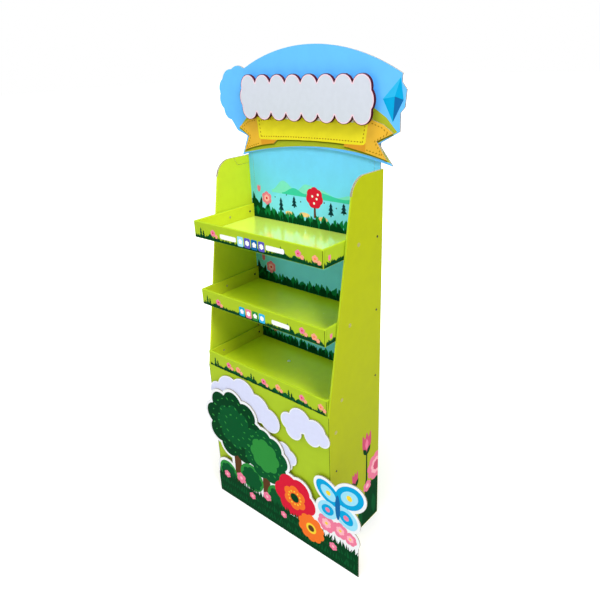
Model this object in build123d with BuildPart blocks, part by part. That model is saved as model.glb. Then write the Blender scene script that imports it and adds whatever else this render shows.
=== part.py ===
"""Floor display stand in printed corrugated board: three roll-over trays riveted between
double-wall side panels on a closed base, with a die-cut header and a cut-out garden board.

Millimetres. X runs across the front, Y runs back (the front faces -Y) and Z is up.
The origin is the middle of the body's footprint, on the floor.
"""

from build123d import *
import math
import os

os.makedirs("parts", exist_ok=True)

# Board stock, and the room left where pieces meet
board = 3.0
ply_gap = 0.4
wall = 2 * board + ply_gap
fold_radius = 2.5
glue = 0.3
fit = 0.3

# Body
body_width = 500.0
body_depth = 250.0
base_height = 520.0
side_height = 1155.0
front_setback = 117.0
side_corner_radius = 55.0
base_flange = 28.0
top_tab_length = 68.0
top_tab_drop = 24.0
top_tab_slope = 15.0
score_width = 0.8

# Trays
tray_pitch = 216.0
tray_height = 50.0
tray_clearance = 0.6
tray_back_fold = 22.0
corner_seam_depth = 0.8
pad_thickness = 5.0
pad_clearance = 1.0

# Push rivets
rivet_sides = 10
shank_diameter = 5.0
hole_clearance = 0.5
head_diameter = 12.0
small_head_diameter = 7.0
head_height = 1.8
head_taper = 50.0
foot_diameter = 8.0
foot_height = 2.2
foot_taper = 30.0
rivet_above_tray = 27.0
rivet_behind_edge = 53.0
rivet_from_back = 26.0
base_rivet_behind_edge = 29.0
base_rivet_drop = 66.0
base_rivet_pitch = 136.0
floor_rivet_x = -38.0
floor_rivet_y = 32.0

# Inside the base
pan_height = 60.0
rib_spacing = 240.0

# Card behind the trays
card_thickness = 3.0
card_rise = 145.0
card_score_inset = 18.0
card_score_depth = 0.6

# Header, ribbon and plaque
header_thickness = 4.0
header_middle = 40.0
header_top = 304.0
header_hem = 38.5
ribbon_thickness = 3.0
plaque_thickness = 8.0
plaque_standoff = 8.0
plaque_length = 400.0
plaque_height = 64.0
plaque_rise = 171.0
plaque_end_radius = 38.0
bump_radius = 30.0
bump_count = 8
plaque_pad_length = 34.0
plaque_pad_height = 22.0
plaque_pad_count = 4
ribbon_pad_rise = 125.0

# Boards on the front of the base
cloud_thickness = 3.0
cloud_foam = 1.7
cloud_pad_side = 26.0
garden_thickness = 3.0
garden_standoff = 6.0
garden_pad_side = 36.0
white_rim = 10.0
garden_right = 355.0
garden_strip = 118.0
high_crown_drop = 202.0
low_crown_drop = 254.0
poppy_drop = 355.0

# Places that several pieces share
front = -body_depth / 2
back = body_depth / 2
half = body_width / 2
inner_half = half - wall
tray_half = inner_half - tray_clearance
card_back = back - board - glue
card_front = card_back - card_thickness
tray_back = card_front - glue
tray_depth = tray_back - front
edge_angle = math.atan2(front_setback, side_height - base_height)
tray_levels = {
    "bottom": base_height + glue,
    "middle": base_height + glue + tray_pitch,
    "top": base_height + glue + 2 * tray_pitch,
}
hole_radius = (shank_diameter + hole_clearance) / 2


def edge_y(z):
    """Where the slanted front edge of the side panels stands at height z."""
    return front + (z - base_height) * math.tan(edge_angle)


def facing(y, z=0.0):
    """Sketch plane across the stand at y, seen from the front, with its zero at height z.
    It extrudes towards the front.
    """
    return Plane(origin=(0, y, z), x_dir=(1, 0, 0), z_dir=(0, -1, 0))


def save(piece, name):
    """Label a finished piece and write it."""
    piece.part.label = name
    export_step(piece.part, f"parts/{name}.step")


def tray_rivet_places(level):
    """The (y, z) places of one tray's push rivets in the side panels."""
    z = level + rivet_above_tray
    return [(edge_y(z) + rivet_behind_edge, z), (back - rivet_from_back, z)]


base_rivet_places = [
    (front + base_rivet_behind_edge, base_height - base_rivet_drop - n * base_rivet_pitch)
    for n in range(2)
]

# Outer wrap: base front, double-wall sides and back, folded from one sheet
bend_radius = wall / 2
corner_run = side_corner_radius * math.tan((math.pi / 2 - edge_angle) / 2) * math.cos(edge_angle)
bend_top = side_height - corner_run
bend_length = (bend_top - base_height) / math.cos(edge_angle)
bend_direction = (0, math.sin(edge_angle), math.cos(edge_angle))
liner_bottom = pan_height + fit
liner_front = front + board + glue
liner_back = back - board - glue
tab_front = liner_back - top_tab_length
wall_middle = half - wall / 2

with BuildPart() as outer_wrap:
    with BuildSketch():
        RectangleRounded(body_width, body_depth, fold_radius)
        Rectangle(body_width - 2 * board, body_depth - 2 * board, mode=Mode.SUBTRACT)
    extrude(amount=side_height)
    # Inner plies of the two sides
    with BuildSketch(Plane.XY.offset(liner_bottom)):
        with Locations((0, (liner_front + liner_back) / 2)):
            with GridLocations(2 * inner_half + board, 0, 2, 1):
                Rectangle(board, liner_back - liner_front)
    extrude(amount=side_height - liner_bottom)
    # Side outline, which also ends the front panel at the base's height
    with BuildSketch(Plane.YZ.offset(-half)):
        with BuildLine():
            Polyline(
                (front, 0),
                (front, base_height),
                (edge_y(side_height), side_height),
                (back, side_height),
                (back, 0),
                close=True,
            )
        make_face()
        fillet(vertices().group_by(Axis.Y)[-1].sort_by(Axis.X)[0], side_corner_radius)
    extrude(amount=body_width, mode=Mode.INTERSECT)
    with BuildSketch(Plane.XY.offset(base_height)):
        with Locations((0, front)):
            Rectangle(2 * inner_half, 2 * board, align=(Align.CENTER, Align.MIN))
    extrude(amount=side_height - base_height, mode=Mode.SUBTRACT)
    # The fold that joins the two plies along each slanted front edge
    with BuildSketch(Plane.XY.offset(base_height)):
        with Locations((0, front + bend_radius / 2)):
            with GridLocations(2 * wall_middle, 0, 2, 1):
                Rectangle(wall, bend_radius)
    extrude(amount=bend_length, dir=bend_direction, mode=Mode.SUBTRACT)
    with BuildSketch(Plane.XY.offset(base_height)):
        with Locations((0, front + bend_radius)):
            with GridLocations(2 * wall_middle, 0, 2, 1):
                Circle(bend_radius)
                Rectangle(wall, wall, align=(Align.CENTER, Align.MIN))
                with Locations((0, board - bend_radius)):
                    Rectangle(
                        ply_gap, 2 * wall, align=(Align.CENTER, Align.MIN), mode=Mode.SUBTRACT
                    )
    extrude(amount=bend_length, dir=bend_direction)
    # Flange folded in along the top of the front panel
    with BuildSketch(Plane.XY.offset(base_height - board)):
        with Locations((0, front + board)):
            Rectangle(2 * (inner_half - fit), base_flange, align=(Align.CENTER, Align.MIN))
    extrude(amount=board)
    with BuildSketch(Plane.YZ):
        with Locations((front, base_height)):
            Rectangle(fold_radius, fold_radius, align=(Align.MIN, Align.MAX))
        with Locations((front + fold_radius, base_height - fold_radius)):
            Circle(fold_radius, mode=Mode.SUBTRACT)
    extrude(amount=inner_half - fit, both=True, mode=Mode.SUBTRACT)
    # Locking tabs: folded over the top edge and tucked flush into the inner plies
    with BuildSketch(Plane.YZ.offset(-half + board)):
        with Locations((liner_back, side_height)):
            Rectangle(top_tab_length, board, align=(Align.MAX, Align.MAX))
    with BuildSketch(Plane.YZ.offset(half - board - ply_gap)):
        with Locations((liner_back, side_height)):
            Rectangle(top_tab_length, board, align=(Align.MAX, Align.MAX))
    extrude(amount=ply_gap)
    with BuildSketch(Plane.YZ):
        with BuildLine():
            Polyline(
                (tab_front, side_height + score_width),
                (tab_front + top_tab_slope, side_height - top_tab_drop),
                (liner_back + glue / 2, side_height - top_tab_drop - score_width),
            )
        trace(line_width=score_width)
    extrude(amount=inner_half + board, both=True, mode=Mode.SUBTRACT)
    # Rivet holes through both sides
    with BuildSketch(Plane.YZ):
        with Locations(*base_rivet_places):
            RegularPolygon(hole_radius, rivet_sides)
        for level in tray_levels.values():
            with Locations(*tray_rivet_places(level)):
                RegularPolygon(hole_radius, rivet_sides)
    extrude(amount=half, both=True, mode=Mode.SUBTRACT)
save(outer_wrap, "outer_wrap")

# Base pan that closes the bottom
pan_width = body_width - 2 * (board + fit)
pan_depth = body_depth - 2 * (board + fit)

with BuildPart() as base_pan:
    with BuildSketch():
        RectangleRounded(pan_width, pan_depth, fold_radius)
    extrude(amount=pan_height)
    with BuildSketch(Plane.XY.offset(board)):
        Rectangle(pan_width - 2 * board, pan_depth - 2 * board)
    extrude(amount=pan_height, mode=Mode.SUBTRACT)
save(base_pan, "base_pan")

# Slotted ribs that carry the bottom tray inside the base
rib_bottom = board + fit
rib_height = base_height - rib_bottom
rib_slot = board + fit
rib_front = front + 2 * board + 2 * fit
rib_back = tray_back - board - fit

with BuildPart() as base_rib_long:
    with BuildSketch(facing(board / 2)):
        with Locations((0, rib_bottom)):
            Rectangle(2 * (inner_half - fit), rib_height, align=(Align.CENTER, Align.MIN))
        with Locations((0, base_height)):
            with GridLocations(rib_spacing, 0, 2, 1):
                Rectangle(
                    rib_slot,
                    (rib_height + fit) / 2,
                    align=(Align.CENTER, Align.MAX),
                    mode=Mode.SUBTRACT,
                )
    extrude(amount=board)
save(base_rib_long, "base_rib_long")

for side, name in ((-1, "base_rib_left"), (1, "base_rib_right")):
    with BuildPart() as base_rib:
        with BuildSketch(Plane.YZ.offset(side * rib_spacing / 2)):
            with Locations((rib_front, rib_bottom)):
                Rectangle(rib_back - rib_front, rib_height, align=(Align.MIN, Align.MIN))
            with Locations((0, rib_bottom)):
                Rectangle(
                    rib_slot,
                    (rib_height + fit) / 2,
                    align=(Align.CENTER, Align.MIN),
                    mode=Mode.SUBTRACT,
                )
            # Room for the flange along the top of the front panel
            with Locations((rib_front, base_height)):
                Rectangle(
                    front + board + base_flange + fit - rib_front,
                    board + fit,
                    align=(Align.MIN, Align.MAX),
                    mode=Mode.SUBTRACT,
                )
        extrude(amount=board / 2, both=True)
    save(base_rib, name)

# Printed sky card: stands on the pan behind the trays and rises behind the header
card_width = 2 * (inner_half - fit)
card_top = side_height + card_rise

with BuildPart() as sky_card:
    with BuildSketch(facing(card_back)):
        with Locations((0, pan_height + fit)):
            Rectangle(card_width, card_top - pan_height - fit, align=(Align.CENTER, Align.MIN))
    extrude(amount=card_thickness)
    with BuildSketch(facing(card_front + card_score_depth)):
        with GridLocations(card_width - 2 * card_score_inset, 0, 2, 1):
            Rectangle(score_width, 2 * card_top)
    extrude(amount=card_score_depth, mode=Mode.SUBTRACT)
save(sky_card, "sky_card")


# Trays: floor, rolled-over lip and sides, and a stiffening fold down the back
def roll_over_tray(level):
    """One folded tray whose underside is at this height."""
    inner = tray_half - wall
    with BuildPart() as tray:
        with BuildSketch(Plane.XY.offset(level)):
            with Locations((0, front)):
                Rectangle(2 * tray_half, tray_depth, align=(Align.CENTER, Align.MIN))
        extrude(amount=tray_height)
        fillet(edges().filter_by(Axis.Z).group_by(Axis.Y)[0], fold_radius)
        with BuildSketch(Plane.XY.offset(level + board)):
            with Locations((0, front + wall)):
                Rectangle(2 * inner, tray_depth, align=(Align.CENTER, Align.MIN))
        extrude(amount=tray_height, mode=Mode.SUBTRACT)
        rolled = faces().sort_by(Axis.Z)[-1].edges().filter_by_position(Axis.Y, front, tray_back - fit)
        fillet(rolled, wall / 2 - ply_gap / 2)
        # Gap between the two plies, open at the back ends of the sides
        with BuildSketch(Plane.XY.offset(level + board)):
            with Locations((0, front + board)):
                Rectangle(2 * (tray_half - board), tray_depth, align=(Align.CENTER, Align.MIN))
            with Locations((0, front + board + ply_gap)):
                Rectangle(
                    2 * (inner + board),
                    tray_depth,
                    align=(Align.CENTER, Align.MIN),
                    mode=Mode.SUBTRACT,
                )
        extrude(amount=tray_height - 2 * board, mode=Mode.SUBTRACT)
        # Seams where the lip's ends meet the sides
        with BuildSketch(Plane.XY.offset(level)):
            with Locations((0, front + wall)):
                with GridLocations(2 * tray_half, 0, 2, 1):
                    Rectangle(2 * corner_seam_depth, score_width)
        extrude(amount=tray_height, mode=Mode.SUBTRACT)
        with BuildSketch(Plane.XY.offset(level + board)):
            with Locations((0, tray_back)):
                Rectangle(2 * inner, board, align=(Align.CENTER, Align.MAX))
        extrude(amount=-(board + tray_back_fold))
        with BuildSketch(Plane.YZ):
            with Locations(*tray_rivet_places(level)):
                RegularPolygon(hole_radius, rivet_sides)
        extrude(amount=half, both=True, mode=Mode.SUBTRACT)
        if level == tray_levels["bottom"]:
            with BuildSketch(Plane.XY.offset(level)):
                with Locations((floor_rivet_x, floor_rivet_y)):
                    RegularPolygon(hole_radius, rivet_sides)
            extrude(amount=board, mode=Mode.SUBTRACT)
    return tray


def shelf_pad(level):
    """The loose stiffening pad that lies on a tray's floor."""
    pad_front = front + wall + pad_clearance
    pad_back = tray_back - pad_clearance
    with BuildPart() as pad:
        with BuildSketch(Plane.XY.offset(level + board)):
            with Locations((0, (pad_front + pad_back) / 2)):
                Rectangle(2 * (tray_half - wall - pad_clearance), pad_back - pad_front)
            if level == tray_levels["bottom"]:
                with Locations((floor_rivet_x, floor_rivet_y)):
                    RegularPolygon(hole_radius, rivet_sides, mode=Mode.SUBTRACT)
        extrude(amount=pad_thickness)
    return pad


for name, level in tray_levels.items():
    save(roll_over_tray(level), f"tray_{name}")
    save(shelf_pad(level), f"shelf_pad_{name}")


# Push rivets
def push_rivet(grip, diameter):
    """A push rivet along +Z: the head's underside is at 0 and the foot starts at -grip."""
    with BuildPart() as rivet:
        with BuildSketch():
            RegularPolygon(diameter / 2, rivet_sides)
        extrude(amount=head_height, taper=head_taper)
        with BuildSketch():
            RegularPolygon(shank_diameter / 2, rivet_sides)
        extrude(amount=-grip)
        with BuildSketch(Plane.XY.offset(-grip)):
            RegularPolygon(foot_diameter / 2, rivet_sides)
        extrude(amount=-foot_height, taper=foot_taper)
    return rivet.part


def side_rivets(places, grip):
    """Rivets in both side panels: a wide head at the first (y, z) place, a small one at the next."""
    with BuildPart() as rivets:
        for (y, z), diameter in zip(places, (head_diameter, small_head_diameter)):
            for side in (-1, 1):
                with Locations(Location((side * half, y, z), (0, side * 90, 0))):
                    add(push_rivet(grip, diameter))
    return rivets


for name, level in tray_levels.items():
    save(side_rivets(tray_rivet_places(level), 2 * wall + tray_clearance), f"rivets_{name}_tray")
save(side_rivets(base_rivet_places, wall), "rivets_base")

with BuildPart() as floor_rivet:
    pad_top = tray_levels["bottom"] + board + pad_thickness
    with Locations((floor_rivet_x, floor_rivet_y, pad_top)):
        add(push_rivet(board + pad_thickness, head_diameter))
save(floor_rivet, "floor_rivet")

# Header: die-cut board with an arched top, a puffed left side and a ribbon's swallow tails.
# Its points, and the ribbon's and plaque's, are (x, height above the side panels).
header_back = card_front - glue
header_front = header_back - header_thickness
arch_right = (304, 231)
kite_corner = [(303, 212), (317, 195), (313, 154), (301, 141)]
right_tail = [(301, 96), (240, 63), (284, 10)]
left_tail = [(-264, -1), (-237, 58), (-279, 72)]
puffs = [(-303, 103), (-333, 135), (-344, 178), (-329, 221), (-287, 247), (-234, 248)]
puff_sagitta = 9.0

with BuildPart() as header_board:
    with BuildSketch(facing(header_back, side_height)):
        with BuildLine():
            Polyline(arch_right, *kite_corner, *right_tail)
            ThreePointArc(right_tail[-1], (header_middle, header_hem), left_tail[0])
            Polyline(*left_tail, puffs[0])
            for start, end in zip(puffs, puffs[1:]):
                SagittaArc(start, end, puff_sagitta)
            ThreePointArc(puffs[-1], (header_middle, header_top), arch_right)
        make_face()
    extrude(amount=header_thickness)
save(header_board, "header_board")

# Ribbon glued on the header: a scroll with a swallow tail at each end
ribbon_back = header_front - glue
ribbon_front = ribbon_back - ribbon_thickness
right_end = [(214, 137), (221, 122), (256, 111), (284, 92), (235, 70), (267, 24)]
right_step = [(130, 51), (134, 57)]
left_step = [(-112, 53), (-126, 42)]
left_end = [(-250, 15), (-227, 58), (-266, 84), (-222, 109), (-190, 115)]

with BuildPart() as ribbon_board:
    with BuildSketch(facing(ribbon_back, side_height)):
        with BuildLine():
            Polyline(*right_end)
            ThreePointArc(right_end[-1], (202, 39), right_step[0])
            Polyline(*right_step)
            ThreePointArc(right_step[-1], (10, 59), left_step[0])
            Polyline(*left_step)
            ThreePointArc(left_step[-1], (-190, 32), left_end[0])
            Polyline(*left_end)
            ThreePointArc(left_end[-1], (10, 135), right_end[0])
        make_face()
    extrude(amount=ribbon_thickness)
save(ribbon_board, "ribbon_board")

# Plaque: a thick cloud-edged board held off the header on foam pads
plaque_back = ribbon_front - plaque_standoff
plaque_pad_rise = (plaque_height - plaque_pad_height) / 2

with BuildPart() as plaque_board:
    with BuildSketch(facing(plaque_back, side_height)):
        with Locations((0, plaque_rise)):
            Rectangle(plaque_length, plaque_height)
            with GridLocations(plaque_length / (bump_count - 1), plaque_height, bump_count, 2):
                Circle(bump_radius)
            with GridLocations(plaque_length, 0, 2, 1):
                Circle(plaque_end_radius)
    extrude(amount=plaque_thickness)
save(plaque_board, "plaque_board")

with BuildPart() as plaque_pads:
    with BuildSketch(facing(header_front - glue, side_height)):
        with Locations((0, plaque_rise + plaque_pad_rise)):
            with GridLocations(plaque_length / plaque_pad_count, 0, plaque_pad_count, 1):
                Rectangle(plaque_pad_length, plaque_pad_height)
    extrude(amount=header_front - plaque_back - 2 * glue)
    with BuildSketch(facing(ribbon_front - glue, side_height)):
        with Locations((0, ribbon_pad_rise)):
            with GridLocations(plaque_length / plaque_pad_count, 0, plaque_pad_count, 1):
                Rectangle(plaque_pad_length, plaque_pad_height)
    extrude(amount=plaque_standoff - 2 * glue)
save(plaque_pads, "plaque_pads")

# Clouds on foam tape: each is a list of puffs, (x, height below the top of the base, radius)
cloud_back = front - glue - cloud_foam
clouds = {
    "cloud_left": [
        (-208, -96, 42),
        (-150, -74, 60),
        (-90, -56, 54),
        (-28, -84, 50),
        (20, -108, 42),
        (-90, -110, 62),
    ],
    "cloud_right": [
        (100, -74, 31),
        (145, -54, 42),
        (202, -66, 38),
        (227, -82, 27),
        (118, -100, 31),
        (190, -92, 30),
    ],
    "cloud_small": [(72, -194, 30), (96, -210, 28), (76, -236, 30)],
}
cloud_pads_at = [
    (-205, -90),
    (-120, -65),
    (-35, -80),
    (20, -95),
    (110, -80),
    (155, -70),
    (205, -72),
    (82, -215),
]

for name, puffs_of_cloud in clouds.items():
    with BuildPart() as cloud:
        with BuildSketch(facing(cloud_back, base_height)):
            for x, z, radius in puffs_of_cloud:
                with Locations((x, z)):
                    Circle(radius)
        extrude(amount=cloud_thickness)
    save(cloud, name)

with BuildPart() as cloud_pads:
    with BuildSketch(facing(front - glue / 2, base_height)):
        with Locations(*cloud_pads_at):
            Rectangle(cloud_pad_side, cloud_pad_side)
    extrude(amount=cloud_foam)
save(cloud_pads, "cloud_pads")

# Garden board: one cut-out of two leafy crowns, a bush, flowers and a butterfly over grass.
# The crowns and the poppy end just under the clouds, so they are set down from the base's top.
garden_back = front - garden_standoff
crowns = [
    (-142, base_height - high_crown_drop, 92, 42),
    (-10, base_height - low_crown_drop, 64, 36),
]
leaf_count = 9
trunk_width = 60.0
bushes = [(-198, 108, 44), (-80, 142, 54), (40, 122, 48)]
poppy_x = 112.0
poppy_z = base_height - poppy_drop
poppy_ring = 44.0
poppy_petal = 40.0
poppy_petals = 6
poppy_stalk = 24.0
daisy_x = 176.0
daisy_z = 80.0
daisy_radius = 54.0
blooms = [(238, 140, 34), (290, 142, 30), (326, 132, 24)]
butterfly_x = 282.0
butterfly_z = 226.0
butterfly_body = 46.0
wings = [
    (248, 262, 50, 33, -34),
    (324, 284, 54, 38, 36),
    (244, 196, 38, 32, 25),
    (312, 204, 42, 36, -30),
]

with BuildPart() as garden_board:
    with BuildSketch(facing(garden_back)):
        with Locations(((garden_right - half) / 2, 0)):
            Rectangle(half + garden_right, garden_strip, align=(Align.CENTER, Align.MIN))
        for x, z, ring, leaf in crowns:
            with Locations((x, z / 2)):
                Rectangle(trunk_width, z)
            with Locations((x, z)):
                Circle(ring)
                with PolarLocations(ring, leaf_count, start_angle=90):
                    Circle(leaf + white_rim)
        for x, z, radius in bushes + blooms:
            with Locations((x, z)):
                Circle(radius + white_rim)
        with Locations((poppy_x, poppy_z / 2)):
            Rectangle(poppy_stalk, poppy_z)
        with Locations((poppy_x, poppy_z)):
            with PolarLocations(poppy_ring, poppy_petals):
                Circle(poppy_petal + white_rim)
        with Locations((daisy_x, daisy_z)):
            Circle(daisy_radius + white_rim)
        for x, z, length, height, turn in wings:
            with Locations((x, z)):
                Ellipse(length + white_rim, height + white_rim, rotation=turn)
        with Locations((butterfly_x, butterfly_z)):
            Ellipse(2 * white_rim, butterfly_body + white_rim)
        # the board is cut straight at the floor
        Rectangle(
            4 * garden_right,
            2 * poppy_ring,
            align=(Align.CENTER, Align.MAX),
            mode=Mode.SUBTRACT,
        )
    extrude(amount=garden_thickness)
save(garden_board, "garden_board")

with BuildPart() as garden_pads:
    with BuildSketch(facing(front - glue)):
        with Locations((0, garden_pad_side * 2)):
            with GridLocations(rib_spacing / 2, 0, 4, 1):
                Rectangle(garden_pad_side, garden_pad_side)
        for x, z, *_ in crowns:
            with Locations((x, z)):
                Rectangle(garden_pad_side, garden_pad_side)
        with Locations((poppy_x, poppy_z)):
            Rectangle(garden_pad_side, garden_pad_side)
    extrude(amount=garden_standoff - 2 * glue)
save(garden_pads, "garden_pads")
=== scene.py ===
"""Dresses the cardboard floor stand: printed boards, cut edges, prints, rivets, light, camera.

Print outlines are in millimetres on the board that carries them. Everything in the scene is
in metres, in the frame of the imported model.
"""

import logging
import math
import random
from collections.abc import Callable, Iterable, Sequence
from dataclasses import dataclass, field
from enum import Enum
from typing import Any

import bpy
from mathutils import Matrix, Vector


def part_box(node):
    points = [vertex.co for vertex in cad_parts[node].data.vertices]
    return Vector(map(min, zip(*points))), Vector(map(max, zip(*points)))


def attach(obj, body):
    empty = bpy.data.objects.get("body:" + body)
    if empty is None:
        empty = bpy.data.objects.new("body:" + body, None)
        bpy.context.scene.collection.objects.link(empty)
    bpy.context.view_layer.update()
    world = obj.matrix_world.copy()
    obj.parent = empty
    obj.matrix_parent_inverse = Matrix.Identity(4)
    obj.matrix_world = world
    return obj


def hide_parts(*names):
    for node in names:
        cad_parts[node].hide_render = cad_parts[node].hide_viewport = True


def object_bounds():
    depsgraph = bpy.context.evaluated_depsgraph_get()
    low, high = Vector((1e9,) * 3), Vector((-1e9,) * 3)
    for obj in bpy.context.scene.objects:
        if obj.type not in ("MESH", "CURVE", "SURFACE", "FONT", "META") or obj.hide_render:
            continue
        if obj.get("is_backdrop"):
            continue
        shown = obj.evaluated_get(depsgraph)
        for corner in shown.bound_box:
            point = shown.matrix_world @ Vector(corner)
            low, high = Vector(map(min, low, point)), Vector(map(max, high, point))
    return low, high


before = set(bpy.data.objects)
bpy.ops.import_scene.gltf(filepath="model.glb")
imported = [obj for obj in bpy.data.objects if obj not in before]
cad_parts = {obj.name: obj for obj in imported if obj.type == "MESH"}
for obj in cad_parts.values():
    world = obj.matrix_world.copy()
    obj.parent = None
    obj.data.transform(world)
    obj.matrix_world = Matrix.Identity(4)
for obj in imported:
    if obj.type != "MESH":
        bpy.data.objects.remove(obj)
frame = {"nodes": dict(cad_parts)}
cad_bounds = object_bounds()

log = logging.getLogger("display_stand")

MM = 0.001
FLUTE = 0.0066
TRAY_RISE = 0.0503
BOARD_SLOT = "lime_board"
Point = tuple[float, float]
Spot = tuple[float, float, float]
Outline = list[Point]


class Level(Enum):
    """The trays and their bays, from the lowest up."""

    BOTTOM = "bottom"
    MIDDLE = "middle"
    TOP = "top"


def linear(colour: str) -> tuple[float, float, float, float]:
    """Linear colour of an sRGB hex value.

    Args:
        colour: a value such as "#B7C41B".

    Returns:
        Red, green, blue and an alpha of 1.
    """
    parts = [int(colour[i:i + 2], 16) / 255 for i in (1, 3, 5)]
    levels = [c / 12.92 if c <= 0.04045 else ((c + 0.055) / 1.055) ** 2.4 for c in parts]
    return (levels[0], levels[1], levels[2], 1.0)


class Flow:
    """A node's output socket that takes part in Python expressions."""

    def __init__(self, graph: "Graph", socket: bpy.types.NodeSocket) -> None:
        """Keeps the socket and the graph that new nodes go into."""
        self.graph = graph
        self.socket = socket

    def math(self, operation: str, *others: "Flow | float") -> "Flow":
        """The result of a Math node whose first value is this socket."""
        return self.graph.calc(operation, self, *others)

    def __add__(self, other: "Flow | float") -> "Flow":
        """Sum."""
        return self.math("ADD", other)

    __radd__ = __add__

    def __sub__(self, other: "Flow | float") -> "Flow":
        """Difference."""
        return self.math("SUBTRACT", other)

    def __rsub__(self, other: float) -> "Flow":
        """Difference from a number."""
        return self.graph.calc("SUBTRACT", other, self)

    def __mul__(self, other: "Flow | float") -> "Flow":
        """Product."""
        return self.math("MULTIPLY", other)

    __rmul__ = __mul__

    def __truediv__(self, other: "Flow | float") -> "Flow":
        """Quotient."""
        return self.math("DIVIDE", other)

    def size(self) -> "Flow":
        """Absolute value."""
        return self.math("ABSOLUTE")

    def fade(self, low: float, high: float) -> "Flow":
        """A smooth step from 0 to 1.

        Args:
            low: where the step is 0. It may be above high.
            high: where the step is 1.

        Returns:
            The step's value.
        """
        step = self.graph.add(
            "ShaderNodeMapRange",
            {"interpolation_type": "SMOOTHSTEP"},
            {0: self, 1: low, 2: high, 3: 0.0, 4: 1.0},
        )
        return Flow(self.graph, step.outputs[0])


class Graph:
    """A node tree that is built from Python."""

    def __init__(self, tree: bpy.types.NodeTree) -> None:
        """Keeps the tree."""
        self.tree = tree

    def add(
        self, kind: str, settings: dict[str, Any] | None = None,
        inputs: dict[int | str, Any] | None = None,
    ) -> bpy.types.Node:
        """Adds any node.

        Args:
            kind: the node's type.
            settings: its properties, which are set first.
            inputs: values or links by socket name or index.

        Returns:
            The node.
        """
        node = self.tree.nodes.new(kind)
        for name, value in (settings or {}).items():
            setattr(node, name, value)
        for key, value in (inputs or {}).items():
            if isinstance(value, (Flow, bpy.types.NodeSocket)):
                self.link(value, node.inputs[key])
            else:
                node.inputs[key].default_value = value
        return node

    def link(self, value: "Flow | bpy.types.NodeSocket", socket: bpy.types.NodeSocket) -> None:
        """Links a value to a node's input."""
        self.tree.links.new(value.socket if isinstance(value, Flow) else value, socket)

    def calc(self, operation: str, *values: "Flow | float") -> Flow:
        """The result of a Math node with these values."""
        node = self.add("ShaderNodeMath", {"operation": operation}, dict(enumerate(values)))
        return Flow(self, node.outputs[0])

    def split(self, vector: bpy.types.NodeSocket) -> tuple[Flow, Flow, Flow]:
        """The x, y and z of a vector."""
        parts = self.add("ShaderNodeSeparateXYZ", None, {0: vector})
        return tuple(Flow(self, parts.outputs[i]) for i in range(3))

    def join(self, parts: dict[int, Any]) -> bpy.types.NodeSocket:
        """A vector of the given parts by index, with 0 for the others."""
        return self.add("ShaderNodeCombineXYZ", None, parts).outputs[0]

    def place(self) -> tuple[Flow, Flow, Flow]:
        """The x, y and z of the point on the object, in metres."""
        return self.split(self.add("ShaderNodeTexCoord").outputs["Object"])

    def noise(self, scale: float, detail: float = 3.0,
              stretch: Sequence[float] = (1, 1, 1)) -> Flow:
        """Noise over the object.

        Args:
            scale: how many features there are to a metre.
            detail: the number of finer layers.
            stretch: scale of the pattern along x, y and z.

        Returns:
            A value between 0 and 1.
        """
        where = self.add("ShaderNodeTexCoord")
        turn = self.add(
            "ShaderNodeMapping", None, {0: where.outputs["Object"], 3: tuple(stretch)}
        )
        node = self.add(
            "ShaderNodeTexNoise", None, {0: turn.outputs[0], "Scale": scale, "Detail": detail}
        )
        return Flow(self, node.outputs[0])

    def mix(self, amount: "Flow | float", first: Any, second: Any) -> Flow:
        """Mixes two colours, of which amount is the second's share."""
        node = self.add("ShaderNodeMix", {"data_type": "RGBA"}, {0: amount, 6: first, 7: second})
        return Flow(self, node.outputs[2])

    def waves(self, along: Flow) -> Flow:
        """The wave of the board's flutes along a length in metres, between -1 and 1."""
        return (along * (math.tau / FLUTE)).math("SINE")

    def surface(self, shader: bpy.types.Node, colour: Any, height: Flow, depth: float) -> None:
        """Gives a shader its colour and its relief.

        Args:
            shader: the Principled BSDF.
            colour: the colour's flow.
            height: the relief between 0 and 1.
            depth: the relief's depth in metres.
        """
        self.link(colour, shader.inputs["Base Color"])
        relief = self.add(
            "ShaderNodeBump", None, {"Height": height, "Distance": depth, "Strength": 1.0}
        )
        self.link(relief.outputs[0], shader.inputs["Normal"])


@dataclass(frozen=True)
class Finish:
    """A surface finish. Each kind of finish paints its own nodes."""

    name: str
    colour: str
    roughness: float = 0.4

    def material(self) -> bpy.types.Material:
        """The finish's material, made once.

        Returns:
            The material.
        """
        found = bpy.data.materials.get(self.name)
        if found:
            return found
        made = bpy.data.materials.new(self.name)
        made.use_nodes = True
        made.diffuse_color = linear(self.colour)
        self.paint(Graph(made.node_tree), made.node_tree.nodes["Principled BSDF"])
        return made

    def paint(self, graph: Graph, shader: bpy.types.Node) -> None:
        """Fills the shader's sockets."""
        raise NotImplementedError

    def matt(self, graph: Graph, shader: bpy.types.Node, value: Flow, spread: float) -> None:
        """Lets the roughness follow a value between 0 and 1, spread about the finish's own."""
        graph.link(value * spread + (self.roughness - spread / 2), shader.inputs["Roughness"])


@dataclass(frozen=True)
class Crease:
    """A fold that runs along one axis, where the print is rubbed paler.

    The fold stands where two coordinates, of which x may be mirrored, have the given values.
    """

    axes: tuple[int, int]
    at: tuple[float, float]
    width: float = 0.0016


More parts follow.
